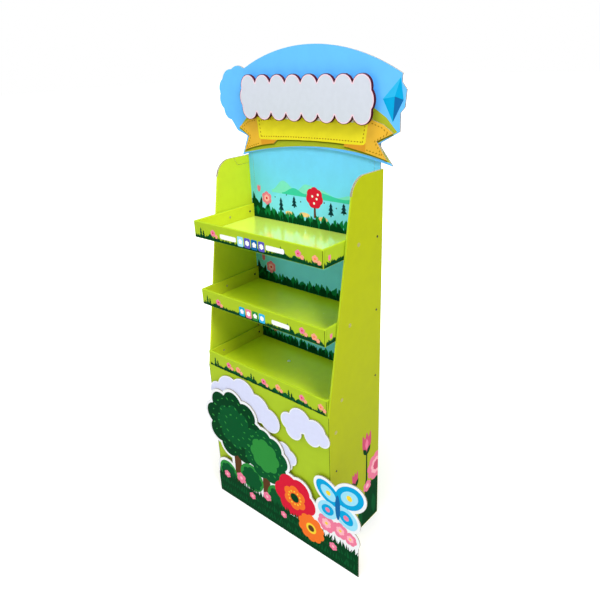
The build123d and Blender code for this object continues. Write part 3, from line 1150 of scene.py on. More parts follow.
@dataclass
class BoardDresser:
    """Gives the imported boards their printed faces, plain backs and cut edges.

    Its sizes are metres. A wall is two plies of board with a gap between them. A face looks
    along an axis where its normal's part on that axis is past facing.
    """

    nodes: dict[str, bpy.types.Object]
    wall: float = 0.0064
    ply: float = 0.0032
    wrap_board: float = 0.0029
    tray_board: float = 0.003
    header_board: float = 0.004
    outer_skin: float = 0.0008
    locking_tab: float = 0.0445
    tray_gap: float = 0.0003
    base_gap: float = 0.004
    back_depth: float = 0.004
    foot: float = 0.01
    cut_depth: float = 0.001
    facing: float = 0.9
    edge_on: float = 0.1
    folded_top: float = 0.7

    def build(self) -> None:
        """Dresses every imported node."""
        self.wrap()
        for level in Level:
            self.tray(f"tray_{level.value}")
            self.dress(f"shelf_pad_{level.value}", GLOSSY_SHEEN_PAD if level is Level.TOP else PAD_LIME)
        for node in ("base_pan", "base_rib_long", "base_rib_left", "base_rib_right"):
            self.dress(node, KRAFT)
        for node in ("plaque_pads", "cloud_pads", "garden_pads"):
            self.dress(node, FOAM)
        self.dress("floor_rivet", RIVET)
        self.flat("sky_card", SKY, WHITE_BACK, self.edge("sky_card"))
        header_edge = self.edge("header_board", "header_edge", self.header_board)
        self.flat("header_board", HEADER, WHITE_BACK, header_edge)
        self.flat("ribbon_board", TAILS, WHITE_BACK, self.edge("ribbon_board"))
        self.flat("plaque_board", MAROON, WHITE_BACK, MAROON)
        for node in ("cloud_left", "cloud_right", "cloud_small"):
            self.flat(node, WHITE, WHITE_BACK, self.edge("cloud_left"))
        self.flat("garden_board", WHITE, KRAFT, self.edge("garden_board"))

    def edge(self, node: str, name: str = "", thickness: float = CutEdge.thickness) -> CutEdge:
        """The cut edge of a board that stands across the stand, with its layers from the front."""
        return CutEdge(name or f"{node}_edge", start=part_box(node)[0][1], thickness=thickness)

    def wall_edge(self, name: str, outside: float) -> CutEdge:
        """The cut edge of the side walls, with its layers from the inside out."""
        return CutEdge(name, across=0, start=outside - self.wall, thickness=self.ply)

    def dress(self, node: str, *finishes: Finish,
              choose: Callable[[Vector, Vector], int] | None = None) -> None:
        """Gives a board its finishes.

        Args:
            node: the board's node.
            finishes: the finishes it shows.
            choose: the number of a face's finish, from the face's middle and normal.
        """
        mesh = self.nodes[node].data
        mesh.materials.clear()
        for finish in finishes:
            mesh.materials.append(finish.material())
        for polygon in mesh.polygons:
            polygon.material_index = choose(polygon.center, polygon.normal) if choose else 0
        log.info("%s: dressed with %s", node, ", ".join(finish.name for finish in finishes))

    def flat(self, node: str, front: Finish, back: Finish, edge: Finish) -> None:
        """Dresses a board that stands across the stand, printed on its front.

        Args:
            node: the board's node.
            front: the finish of its front.
            back: the finish of its back.
            edge: the finish of its cut edge.
        """
        def side(_: Vector, normal: Vector) -> int:
            """0 for the front, 1 for the back, 2 for an edge."""
            return 0 if normal.y < -0.5 else 1 if normal.y > 0.5 else 2

        self.dress(node, front, back, edge, choose=side)

    def wrap(self) -> None:
        """Dresses the outer wrap: print outside and on the liners, raw board where it is cut."""
        low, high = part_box("outer_wrap")
        inner_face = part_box("tray_top")[1][0] + self.tray_gap
        base_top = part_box("tray_bottom")[0][2] - self.base_gap
        across, behind = high[0] - self.wrap_board, high[1] - self.wrap_board
        finishes = (LIME, KRAFT, self.wall_edge("wrap_edge", high[0]), SIDE_LIME, LIT_INNER_LIME)
        outer, plain, cut, side_print, lit_inner_print = range(len(finishes))

        def side(middle: Vector, normal: Vector) -> int:
            """The number of a face's finish.

            Args:
                middle: the face's middle.
                normal: its normal.

            Returns:
                The number in the list of finishes.
            """
            if normal.z < -self.facing and middle.z < self.foot:
                return cut
            on_side = abs(middle.x) > inner_face
            at_tab = middle.z > high[2] - self.locking_tab
            if on_side and at_tab and abs(normal.x) < self.edge_on and normal.y < self.facing:
                return cut
            inside = abs(middle.x) < across and low[1] + self.wrap_board < middle.y < behind
            on_back = normal.y < -self.facing and middle.y > high[1] - self.back_depth
            if inside and (middle.z < base_top or on_back):
                return plain
            if abs(middle.x) > high[0] - self.outer_skin:
                return side_print
            # Inner faces of the side walls take the brighter copy of the lime print, which is
            # painted light.
            return lit_inner_print if on_side and normal.x * middle.x < 0 else outer

        self.dress("outer_wrap", *finishes, choose=side)

    def tray(self, node: str) -> None:
        """Dresses a tray: print all round, raw board at the cut ends of its sides.

        Args:
            node: the tray's node.
        """
        low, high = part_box(node)
        finishes = (LIME, self.wall_edge("tray_edge", high[0]), LIT_TRAY_LIME)
        outer, cut, lit_inner_print = range(len(finishes))

        def side(middle: Vector, normal: Vector) -> int:
            """The number of a face's finish. Folded tops take the outer print.

            Args:
                middle: the face's middle.
                normal: its normal.

            Returns:
                The number in the list of finishes.
            """
            if normal.y > self.facing and middle.y > high[1] - self.cut_depth:
                return cut
            board = self.tray_board
            inside = abs(middle.x) < high[0] - board and middle.y > low[1] + board
            # Inner faces take the brighter copy of the lime print, which is painted light.
            return lit_inner_print if inside and normal.z < self.folded_top else outer

        self.dress(node, *finishes, choose=side)


@dataclass
class HeaderArt:
    """Prints on the header board, its ribbon and its plaque.

    Heights are millimetres above the side panels, whose top is given in metres. A stitch is
    given by half its length and half its width.
    """

    side_top: float
    shadow_drop: float = 4.5
    stitch: tuple[float, float] = (2.5, 1.3)
    stitch_spacing: float = 9.5
    plaque_half: float = 200.0
    plaque_bumps: int = 8
    bump_height: float = 32.0
    bump_radius: float = 30.0
    filler_radius: float = 41.0
    end_radius: float = 38.0
    rim_inset: float = 1.6
    face_inset: float = 4.6

    def build(self, tree: PathTree) -> None:
        """Makes the prints.

        Args:
            tree: the tree for the stitches.
        """
        self.board_print()
        self.ribbon_print(tree)
        self.plaque_print()

    def board_print(self) -> None:
        """Border round the ribbon with a painted shadow below the ribbon, and a kite on the sky."""
        job = PrintJob("header_art", Surface.front("header_board", self.side_top), "header_print")
        border = arc((-258, 6), (40, 43), (278, 17))
        border += [(238, 65), (294, 95), (262, 128)]
        border += arc((226, 150), (10, 149), (-196, 128))
        border += [(-226, 121), (-272, 78), (-231, 58)]
        job.lay(border, Hue.BORDER)
        # Painted shadow: the ribbon's outline, dropped by shadow_drop and laid in dark olive on the
        # border.
        drop = [(284, 92), (235, 70)]
        drop += arc((267, 24), (202, 39), (130, 51)) + arc((134, 57), (10, 59), (-112, 53))
        drop += arc((-126, 42), (-190, 32), (-250, 15))
        drop += [(-227, 58), (-266, 84), (-222, 100), (214, 120)]
        job.lay([(x, z - self.shadow_drop) for x, z in drop], Hue.BORDER_DEEP, 2)
        top, left, low, right, cross = (300, 222), (250, 172), (280, 118), (309, 171), (284, 178)
        job.lay([top, left, cross], Hue.SKY_DEEP, 2)
        job.lay([top, cross, right], Hue.BLUE, 2)
        job.lay([left, low, cross], Hue.BLUE, 2)
        job.lay([low, right, cross], Hue.BLUE_DEEP, 2)
        job.build()

    def ribbon_print(self, tree: PathTree) -> None:
        """Yellow scroll over orange tails, with rows of printed stitches.

        Args:
            tree: the tree for the stitches.
        """
        surface = Surface.front("ribbon_board", self.side_top)
        job = PrintJob("ribbon_art", surface, "ribbon_print")
        scroll = arc((-190, 114), (10, 134), (213, 136))
        scroll += [(201, 64), (196, 59), (186, 57.5)]
        scroll += arc((134, 57.5), (10, 58.5), (-112, 53.5))
        scroll += [(-178, 51.5), (-184, 56)]
        job.lay(scroll, Hue.SCROLL, 2)
        right_fold = [(130, 51.5), (134, 57.5), (186, 57.5), (201, 64), (201, 40)]
        left_fold = [(-112, 53), (-126, 42.5), (-176, 35), (-178, 51.5)]
        for fold in (right_fold, left_fold):
            job.lay(fold, Hue.TAIL_SHADE, 1)
        job.build()
        along, across = self.stitch
        stitch = band(-along, along, -across, across)
        StampRow(
            "ribbon_stitches", surface, "ribbon_print", stitch, Hue.STITCH, self.stitch_spacing,
            follow=True, paths=[
                arc((-180, 104), (10, 124), (203, 125)),
                [(203, 125), (192, 66)],
                arc((186, 65), (10, 66), (-172, 60)),
                [(-176, 62), (-180, 104)],
                [(222, 113), (250, 104), (270, 91), (229, 69), (252, 36), (206, 46)],
                [(-200, 104), (-224, 101), (-253, 83), (-220, 58), (-240, 23), (-190, 38)],
            ],
        ).build(tree)

    def plaque_print(self) -> None:
        """Pale face of the plaque inside its dark rim."""
        surface = Surface.front("plaque_board", self.side_top)
        low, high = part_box("plaque_board")
        middle = ((low[2] + high[2]) / 2 - surface.origin.z) / MM
        half, gaps, signs = self.plaque_half, self.plaque_bumps - 1, (-1, 1)
        pitch = 2 * half / gaps
        puffs = [
            (-half + pitch * i, middle + sign * self.bump_height, self.bump_radius)
            for i in range(self.plaque_bumps) for sign in signs
        ]
        puffs += [(pitch * (i + 0.5) - half, middle, self.filler_radius) for i in range(gaps)]
        puffs += [(sign * half, middle, self.end_radius) for sign in signs]
        job = PrintJob("plaque_art", surface, "plaque_print")
        job.lay(puffed(puffs, self.rim_inset, 260), Hue.RIM, 1)
        job.lay(puffed(puffs, self.face_inset, 260), Hue.PLAQUE, 2)
        job.build()


@dataclass
class CardArt:
    """The landscape printed on the card behind the trays. Its sizes are millimetres.

    Every bay's heights are over its pad. The hills' are over the ground line in the top bay.
    """

    levels: Sequence[float]
    half: float = 242.0
    row_half: float = 236.0
    ground: float = 96.0
    corner_drop: float = 14.0
    pale_field: Sequence[Point] = ((-242, -60), (-180, -40), (-112, -6), (242, -6))
    far_hills: Sequence[Point] = (
        (-152, 0), (-104, 32), (-52, 8), (-14, 30), (44, 20), (96, 4), (150, 15), (242, 8),
    )
    near_hills: Sequence[Point] = (
        (-110, -4), (-62, 14), (-16, 1), (36, 12), (120, 2), (186, 9), (242, 1),
    )
    fruit: Sequence[Point] = ((10, 4), (26, -2), (16, -16), (31, 11))
    firs: Sequence[Spot] = (
        (-116, -66, 46), (-62, -46, 36), (78, -54, 42), (124, -42, 34), (170, -60, 46),
    )
    mounds: Sequence[Spot] = ((-22, -62, 20), (48, -66, 18), (-84, -66, 16))
    dots: Sequence[Point] = (
        (-140, -22), (-92, -10), (-36, -24), (54, -16), (98, -26), (148, -14), (196, -28),
    )

    def build(self, tree: PathTree) -> None:
        """Makes the print and the rows of leaves over it.

        Args:
            tree: the tree for the leaves.
        """
        surface = Surface.front("sky_card")
        job = PrintJob("card_art", surface, "sky_print")
        self.hills(job, self.levels[-1])
        for number, level in enumerate(self.levels):
            tops = treeline(-self.half, self.half, level - 12, (26, 36), 11 + number)
            job.lay(tops, Hue.LEAF_MID, 3)
            drop = 0.0 if level == self.levels[-1] else self.corner_drop
            self.corner_flowers(job, level, drop)
        job.build()
        sprig = leaf(0, -4, 30, 11, 90, 6)
        rows = ((Hue.LEAF_MID, 9.0, 10, 4, 9), (Hue.LEAF_DARK, 8.0, 0, 8, 12))
        for hue, spacing, rise, seed, layer in rows:
            paths = [
                [(-self.row_half, level + rise), (self.row_half, level + rise)]
                for level in self.levels
            ]
            StampRow(
                f"card_bushes_{hue.name.lower()}", surface, "sky_print", sprig, hue, spacing,
                0.6, 1.3, 0.5, seed=seed, layer=layer, paths=paths,
            ).build(tree)

    def corner_flowers(self, job: PrintJob, level: float, drop: float) -> None:
        """Leaves and a pink flower in the left corner of a bay.

        Args:
            job: the card's print.
            level: the top of the bay's pad.
            drop: how much lower they stand than in the top bay.
        """
        slope = [(-self.half, level + 58 - drop), (-226, level + 60 - drop), (-196, level + 34),
                 (-150, level)]
        job.lay(ridge(slope, level - 10), Hue.LEAF_DARK, 4)
        for x, height, turn in ((-228, 78, 94), (-212, 66, 78), (-192, 56, 62), (-218, 60, 106)):
            job.lay(leaf(x, level + 4, height - drop, 15, turn), Hue.LEAF_DARK, 5)
        x, z = -176, level + 66 - drop
        job.lay(lobed(x, z, 12, 9, 6), Hue.PINK, 6)
        job.lay(lobed(x, z, 6, 5, 6), Hue.PINK_PALE, 7)
        job.lay(circle(x, z, 4), Hue.RED, 8)
        job.lay(tulip(-208, level + 84 - drop, 20), Hue.PINK, 6)

    def hills(self, job: PrintJob, level: float) -> None:
        """Hills over a pale field, a round tree, firs and mounds across the top bay.

        Args:
            job: the card's print.
            level: the top of the bay's pad.
        """
        ground = level + self.ground
        job.lay(ridge([(x, ground + z) for x, z in self.pale_field], level - 4), Hue.MIST, 1)
        job.lay(ridge([(x, ground + z) for x, z in self.far_hills], ground - 8), Hue.TEAL_PALE, 1)
        job.lay(ridge([(x, ground + z) for x, z in self.near_hills], ground - 8), Hue.TEAL, 2)
        job.lay(stem(18, ground - 66, 44, 9), Hue.TRUNK, 3)
        job.lay(lobed(18, ground - 6, 17, 15, 7), Hue.RED, 4)
        for x, z in self.fruit:
            job.lay(circle(x, ground - 6 + z, 3.6, 20), Hue.WHITE, 5)
        for x, z, height in self.firs:
            job.lay(fir(x, ground + z, height, 22), Hue.PINE, 3)
        for x, z, width in self.mounds:
            job.lay(ellipse(x, ground + z, width, 7), Hue.SAND, 2)
        for x, z in self.dots:
            job.lay(circle(x, ground + z, 2.2, 12), Hue.PINE, 2)


@dataclass(frozen=True)
class LabelRow:
    """Blank labels and plain coloured tiles on a tray's lip, by their middles in millimetres."""

    labels: tuple[float, ...]
    first_tile: float
    tiles: tuple[Hue, ...]
    label_size: Point = (66.0, 14.0)
    label_corner: float = 5.0
    label_height: float = 20.0
    tile_size: Point = (23.0, 28.0)
    tile_corner: float = 4.0
    tile_height: float = 19.0
    tile_pitch: float = 27.0

    def lay(self, job: PrintJob) -> None:
        """Lays the row.

        Args:
            job: the lip's print.
        """
        for x in self.labels:
            label = self.pill(x, self.label_height, self.label_size, self.label_corner)
            job.lay(label, Hue.WHITE, 3)
        for i, hue in enumerate(self.tiles):
            x = self.first_tile + self.tile_pitch * i
            job.lay(self.pill(x, self.tile_height, self.tile_size, self.tile_corner), hue, 3)
            flower = lobed(x, self.tile_height, 4.6, 3.4, 5 + i % 2, steps=60)
            job.lay(flower, Hue.WHITE, 4)

    @staticmethod
    def pill(x: float, y: float, size: Point, corner: float) -> Outline:
        """A rounded rectangle.

        Args:
            x: its middle's x.
            y: its middle's y.
            size: its width and its height.
            corner: the radius of its corners.

        Returns:
            The outline.
        """
        width, height = size
        made = []
        for turn, (sx, sy) in enumerate(((1, 1), (-1, 1), (-1, -1), (1, -1))):
            for i in range(6):
                angle = math.radians(90 * turn + 18 * i)
                made.append((x + sx * (width / 2 - corner) + corner * math.cos(angle),
                             y + sy * (height / 2 - corner) + corner * math.sin(angle)))
        return made


LABEL_ROWS = {
    Level.MIDDLE: LabelRow((86.0,), -66.0, (Hue.BLUE, Hue.PINK, Hue.LEAF_LIGHT, Hue.SKY_DEEP)),
    Level.TOP: LabelRow(
        (-98.0, 82.0), -48.0, (Hue.BLUE_PALE, Hue.VIOLET, Hue.BLUE_DEEP, Hue.VIOLET),
    ),
}


class Wall(Enum):
    """The printed walls of a tray."""

    LIP = "lip"
    RIGHT = "right"
    LEFT = "left"


@dataclass
class TrayArt:
    """Grass, flowers and blank labels on a tray's lip and sides. Its sizes are millimetres."""

    level: Level
    seed: int
    height: float = 50.0
    margin: float = 3.0
    back_margin: float = 8.0
    turf_foot: float = 0.6
    turf_top: float = 3.2
    label_turf_top: float = 6.4
    tulip_place: float = 22.0
    # The painted shade line at the lip's right end: its outer and inner distance from the end.
    seam: tuple[float, float] = (2.4, 0.9)
    groups: int = 9
    label_middle: float = -20.0
    label_half: float = 120.0
    blade: Sequence[Point] = ((-2.6, -2), (2.6, -2), (1.6, 3.4), (0, 6.8), (-1.8, 3.2))

    def build(self, tree: PathTree) -> None:
        """Makes the prints and the grass.

        Args:
            tree: the tree for the grass.
        """
        low, high = (Vector(corner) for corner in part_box(f"tray_{self.level.value}"))
        zero = high.z - self.height * MM
        half, front, back = high.x / MM, low.y / MM, high.y / MM
        lip = Surface(Vector((0, low.y, zero)), Vector((1, 0, 0)))
        right = Surface(Vector((high.x, 0, zero)), Vector((0, 1, 0)))
        left = Surface(Vector((low.x, 0, zero)), Vector((0, -1, 0)))
        near, far = self.margin, self.back_margin
        runs = (
            (Wall.LIP, lip, -half + near, half - near),
            (Wall.RIGHT, right, front + near, back - far),
            (Wall.LEFT, left, -back + far, -front - near),
        )
        rise = self.label_turf_top if self.level in LABEL_ROWS else self.turf_top
        for number, (wall, surface, start, end) in enumerate(runs):
            name = f"tray_{self.level.value}_{wall.value}"
            job = PrintJob(f"{name}_art", surface, BOARD_SLOT)
            job.lay(band(start, end, self.turf_foot, rise), Hue.LEAF_DARK, 1)
            if wall is Wall.LIP:
                self.flowers(job, start, end)
                # A painted shade line at the lip's right end, for the shadow in the gap beside the
                # side panel.
                job.lay(band(half - self.seam[0], half - self.seam[1], 1, 47), Hue.SEAM, 1)
                if self.level in LABEL_ROWS:
                    LABEL_ROWS[self.level].lay(job)
            else:
                near_start = wall is Wall.RIGHT
                place = start + self.tulip_place if near_start else end - self.tulip_place
                self.lone_tulip(job, place)
            job.build()
            StampRow(
                f"{name}_grass", surface, BOARD_SLOT, list(self.blade), Hue.LEAF_DARK, 3.2,
                0.4, 1.5, 0.25, seed=self.seed + number, layer=2,
                paths=[[(start + 3, rise - 1), (end - 3, rise - 1)]],
            ).build(tree)

    def lone_tulip(self, job: PrintJob, x: float) -> None:
        """A tulip near the front of a tray's side.

        Args:
            job: the side's print.
            x: its place.
        """
        job.lay(stem(x, 4, 14, 1.6), Hue.LEAF, 2)
        job.lay(tulip(x, 16, 15), Hue.PINK, 3)
        job.lay(leaf(x + 2, 4, 17, 5, 50), Hue.LEAF, 2)
        job.lay(leaf(x - 2, 4, 17, 5, 130), Hue.LEAF, 2)

    def flowers(self, job: PrintJob, start: float, end: float) -> None:
        """Groups of small flowers and firs along the lip, none behind the labels.

        Args:
            job: the lip's print.
            start: where the groups start.
            end: where they end.
        """
        roll = random.Random(self.seed)
        for group in range(self.groups):
            x = start + (end - start) * (group + 0.5 + roll.uniform(-0.2, 0.2)) / self.groups
            if self.level in LABEL_ROWS and abs(x - self.label_middle) < self.label_half:
                continue
            mound = [(x - 30, 4), (x - 13, roll.uniform(14, 20)), (x + 3, roll.uniform(9, 13)),
                     (x + 17, roll.uniform(14, 19)), (x + 30, 4)]
            if start < x - 30 and x + 30 < end:
                job.lay(ridge(mound, 1), Hue.LEAF, 1)
            if group % 3 == 0:
                job.lay(fir(x, 4, 30, 13), Hue.LEAF, 2)
                job.lay(fir(x + 11, 4, 23, 12), Hue.LEAF_DARK, 2)
            else:
                petals, heart = ((Hue.PINK, Hue.RED), (Hue.PEACH, Hue.ORANGE))[group % 3 - 1]
                tall = roll.uniform(15, 22)
                job.lay(stem(x, 4, tall, 1.4, 88), Hue.LEAF, 2)
                job.lay(lobed(x, 4 + tall, 5.6, 4.8, 5, steps=60), petals, 3)
                job.lay(circle(x, 4 + tall, 2.6, 14), heart, 4)
                job.lay(lobed(x + 13, tall - 4, 3.6, 3.2, 5, steps=60), Hue.PEACH, 3)
                job.lay(leaf(x + 1, 4, 18, 6, 48), Hue.LEAF_DARK, 2)
                job.lay(leaf(x - 1, 4, 18, 6, 132), Hue.LEAF, 2)


@dataclass
class FrontGapShade:
    """Painted shade lines in the gaps where the front panel meets the sides, in millimetres."""

    base_top: float
    margin: float = 1.2
    width: float = 1.5
    top_gap: float = 3.0

    def build(self) -> None:
        """Makes the lines up to the base's top, which is given in metres."""
        job = PrintJob("front_seams", Surface.front("outer_wrap"), BOARD_SLOT)
        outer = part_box("outer_wrap")[1][0] / MM - self.margin
        inner, top = outer - self.width, self.base_top / MM - self.top_gap
        # Painted shade standing in for the shadow in the gap at each front corner.
        for sign in (-1, 1):
            job.lay(band(sign * outer, sign * inner, 1, top), Hue.SEAM, 1)
        job.build()


@dataclass
class SideArt:
    """Tall flowers in the lower back corner of a side panel, in millimetres.

    The sign is 1 for the right side and -1 for the left. The bushes are measured from the
    print's back edge, the leaves and the tulips from the stand's middle.
    """

    sign: int
    margin: float = 3.0
    bushes: Sequence[Point] = (
        (0, 2), (0, 158), (-22, 160), (-44, 152), (-66, 138), (-86, 104), (-108, 66), (-126, 2),
    )
    dark_leaves: Sequence[tuple[float, float, float, float]] = (
        (108, 60, 110, 104), (92, 40, 110, 98), (62, 96, 92, 94), (46, 24, 92, 112),
    )
    light_leaves: Sequence[tuple[float, float, float, float]] = (
        (30, 10, 74, 100), (102, 10, 90, 94),
    )
    low_leaves: Sequence[tuple[float, float, float, float]] = (
        (60, 8, 84, 86), (12, 4, 60, 112),
    )
    tall_tulip: float = 58.0
    low_tulip: float = -4.0
    bloom_rings: Sequence[tuple[float, float, Hue]] = (
        (36, 17, Hue.PINK), (22, 10, Hue.PINK_PALE), (13, 6, Hue.ROSE),
    )

    def __post_init__(self) -> None:
        """Finds the panel and the print's back edge."""
        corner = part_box("outer_wrap")[1]
        self.surface = Surface(Vector((corner[0] * self.sign, 0, 0)), Vector((0, self.sign, 0)))
        self.edge = corner[1] / MM - self.margin

    def at(self, y: float) -> float:
        """Where a place at y on the stand lies on the print, and the other way round."""
        return y * self.sign

    def cut(self, outline: Outline) -> Outline:
        """An outline cut off at the print's back edge."""
        return [(self.at(min(self.at(x), self.edge)), z) for x, z in outline]

    def build(self) -> None:
        """Makes the print."""
        name = "right" if self.sign > 0 else "left"
        job = PrintJob(f"side_{name}_art", self.surface, BOARD_SLOT)
        job.lay([(self.at(self.edge + y), z) for y, z in self.bushes], Hue.LEAF_DARK, 1)
        self.leaves(job, self.dark_leaves, Hue.LEAF_DARK, 2)
        self.leaves(job, self.light_leaves, Hue.LEAF, 3)
        self.leaves(job, self.low_leaves, Hue.LEAF_DARK, 2)
        self.tulips(job)
        x = self.at(self.edge - 8)
        for layer, (ring, lobe, hue) in enumerate(self.bloom_rings, 5):
            job.lay(self.cut(lobed(x, 206, ring, lobe, 9)), hue, layer)
        x = self.at(self.edge - 60)
        job.lay(lobed(x, 152, 13, 9, 6), Hue.PINK, 5)
        job.lay(circle(x, 152, 8, 24), Hue.PINK_PALE, 6)
        job.build()

    def leaves(self, job: PrintJob, places: Sequence[tuple[float, float, float, float]],
               hue: Hue, layer: int) -> None:
        """Long leaves in one ink.

        Args:
            job: the side's print.
            places: the y, height, length and turn of each leaf.
            hue: their ink.
            layer: their layer.
        """
        for y, z, length, turn in places:
            lean = turn if self.sign > 0 else 180 - turn
            job.lay(leaf(self.at(y), z, length, 24, lean), hue, layer)

    def tulips(self, job: PrintJob) -> None:
        """Two tulips on their stems, each with leaves under its head.

        Args:
            job: the side's print.
        """
        tall, low = self.at(self.tall_tulip), self.at(self.low_tulip)
        job.lay(stem(tall, 110, 196, 9), Hue.LEAF_DARK, 2)
        job.lay(tulip(tall, 290, 70), Hue.ROSE, 3)
        job.lay(leaf(tall, 298, 42, 17, 90), Hue.PINK, 4)
        job.lay(stem(low, 60, 150, 6), Hue.LEAF_DARK, 2)
        job.lay(tulip(low, 204, 44), Hue.ROSE, 3)
        for x, z, length in ((tall, 278, 36), (low, 190, 32)):
            for turn in (58, 122):
                job.lay(leaf(x, z, length, 15, turn), Hue.LEAF_DARK, 5)


@dataclass
class GardenArt:
    """Prints on the cut-out garden board and on the clouds.

    Sizes are millimetres, and the clouds' heights are over the base, whose top is in metres.
    A crown is its x, z, ring and lobe, a wing its x, z, half length, half height and turn.
    """

    base_top: float
    crowns: Sequence[tuple[float, float, float, float]] = ((-142, 318, 92, 42), (-10, 266, 64, 36))
    bushes: Sequence[Spot] = ((-198, 108, 44), (-80, 142, 54), (40, 122, 48))
    poppy: Point = (112, 165)
    daisy: Point = (176, 80)
    blooms: Sequence[Spot] = ((238, 140, 34), (290, 142, 30), (326, 132, 24))
    small_blooms: Sequence[Spot] = (
        (-134, 112, 22), (-206, 92, 15), (-12, 100, 18), (60, 66, 13), (262, 62, 15), (-84, 62, 14),
    )
    upper_wings: Sequence[tuple[float, float, float, float, float]] = (
        (248, 262, 50, 33, -34), (324, 284, 54, 38, 36),
    )
    lower_wings: Sequence[tuple[float, float, float, float, float]] = (
        (244, 196, 38, 32, 25), (312, 204, 42, 36, -30),
    )
    blade: Sequence[Point] = ((-4.5, -6), (4.5, -6), (2.6, 14), (0, 25), (-2.4, 13))
    clouds: Sequence[tuple[str, Sequence[Spot]]] = (
        ("cloud_left", ((-208, -96, 42), (-150, -74, 60), (-90, -56, 54), (-28, -84, 50),
                        (20, -108, 42), (-90, -110, 62))),
        ("cloud_right", ((100, -74, 31), (145, -54, 42), (202, -66, 38), (227, -82, 27),
                         (118, -100, 31), (190, -92, 30))),
        ("cloud_small", ((72, -194, 30), (96, -210, 28), (76, -236, 30))),
    )

    def build(self, tree: PathTree) -> None:
        """Makes the prints.

        Args:
            tree: the tree for the grass and leaf marks.
        """
        surface = Surface.front("garden_board")
        job = PrintJob("garden_art", surface, "garden_print")
        self.trees(job)
        self.flowers(job)
        self.butterfly(job)
        job.build()
        self.small_marks(tree, surface)
        for name, puffs in self.clouds:
            cloud = PrintJob(f"{name}_art", Surface.front(name, self.base_top), "cloud_print")
            cloud.lay(puffed(puffs, 3.5, 150), Hue.CLOUD, 1)
            cloud.build()

    def trees(self, job: PrintJob) -> None:
        """Crowns, trunks, bushes and the ground.

        Args:
            job: the board's print.
        """
        inks = ((Hue.LEAF_DARK, Hue.LEAF), (Hue.LEAF, Hue.LEAF_LIGHT))
        for layer, ((x, z, ring, lobe), (hue, light)) in enumerate(zip(self.crowns, inks), 3):
            fork = z - ring * 0.8
            job.lay([(x - 20, 60), (x + 20, 60), (x + 15, fork), (x - 15, fork)], Hue.TRUNK, 2)
            job.lay(lobed(x, z, ring, lobe, 9, steps=260), hue, layer)
            job.lay(lobed(x, z, ring * 0.62, lobe * 0.66, 8), light, layer + 1)
        for x, z, radius in self.bushes:
            job.lay(circle(x, z, radius), Hue.LEAF_LIGHT, 3)
            job.lay(lobed(x, z - 4, radius * 0.56, radius * 0.3, 8), Hue.LEAF, 4)
        job.lay(band(-249.8, 354.8, 0.3, 84), Hue.LEAF_DARK, 6)

    def flowers(self, job: PrintJob) -> None:
        """Poppy, daisy and pink blooms.

        Args:
            job: the board's print.
        """
        job.lay(lobed(*self.poppy, 44, 40, 6, 0.0, 240), Hue.RED, 5)
        job.lay(lobed(*self.poppy, 26, 20, 6, 30.0), Hue.ORANGE, 6)
        job.lay(circle(*self.poppy, 17), Hue.LEAF_DARK, 7)
        for x, z in circle(*self.poppy, 25, 12):
            job.lay(circle(x, z, 3.2, 14), Hue.YELLOW, 8)
        job.lay(lobed(*self.daisy, 36, 17, 10), Hue.ORANGE, 12)
        job.lay(circle(*self.daisy, 20), Hue.YELLOW, 13)
        job.lay(circle(*self.daisy, 12), Hue.TRUNK, 14)
        for x, z, radius in self.blooms:
            job.lay(lobed(x, z, radius * 0.58, radius * 0.42, 7), Hue.PINK, 5)
            job.lay(lobed(x, z, radius * 0.3, radius * 0.22, 6), Hue.PINK_PALE, 6)
            job.lay(circle(x, z, radius * 0.16, 20), Hue.YELLOW, 7)
        for x, z, radius in self.small_blooms:
            job.lay(lobed(x, z, radius * 0.6, radius * 0.42, 6), Hue.PINK, 12)
            job.lay(circle(x, z, radius * 0.3, 20), Hue.PINK_PALE, 13)

    def butterfly(self, job: PrintJob) -> None:
        """Blue wings with pale spots round a slim body.

        Args:
            job: the board's print.
        """
        pairs = ((self.upper_wings, (Hue.BLUE, Hue.BLUE_PALE, Hue.YELLOW)),
                 (self.lower_wings, (Hue.BLUE_PALE, Hue.BLUE, Hue.PINK)))
        for wings, (outer, inner, spot) in pairs:
            for x, z, length, height, turn in wings:
                job.lay(ellipse(x, z, length, height, turn), outer, 7)
                job.lay(ellipse(x, z, length * 0.62, height * 0.6, turn), inner, 8)
                job.lay(circle(x, z, height * 0.26), spot, 9)
        job.lay(ellipse(282, 226, 9, 46), Hue.BLUE_DEEP, 10)

    def small_marks(self, tree: PathTree, surface: Surface) -> None:
        """Leaf marks on the crowns and blades along the ground.

        Args:
            tree: the tree for the marks.
            surface: the board's front.
        """
        rings = [
            circle(x, z, ring * share + lobe * 0.1, 30)[:28]
            for x, z, ring, lobe in self.crowns for share in (0.45, 0.8, 1.1)
        ]
        blade = list(self.blade)
        StampRow(
            "garden_leaf_marks", surface, "garden_print", leaf(-6, 0, 12, 5, 0), Hue.LEAF_LIGHT,
            27.0, 0.7, 1.15, 0.9, seed=9, layer=8, paths=rings,
        ).build(tree)
        StampRow(
            "garden_grass", surface, "garden_print", blade, Hue.LEAF_DARK, 7.0, 0.55, 1.15, 0.4,
            seed=5, layer=7, paths=[[(-243, 82), (348, 82)]],
        ).build(tree)
        StampRow(
            "garden_grass_light", surface, "garden_print", blade, Hue.LEAF, 11.0, 0.5, 1.0, 0.5,
            seed=6, layer=8, paths=[[(-238, 56), (340, 58)], [(-238, 22), (340, 24)]],
        ).build(tree)


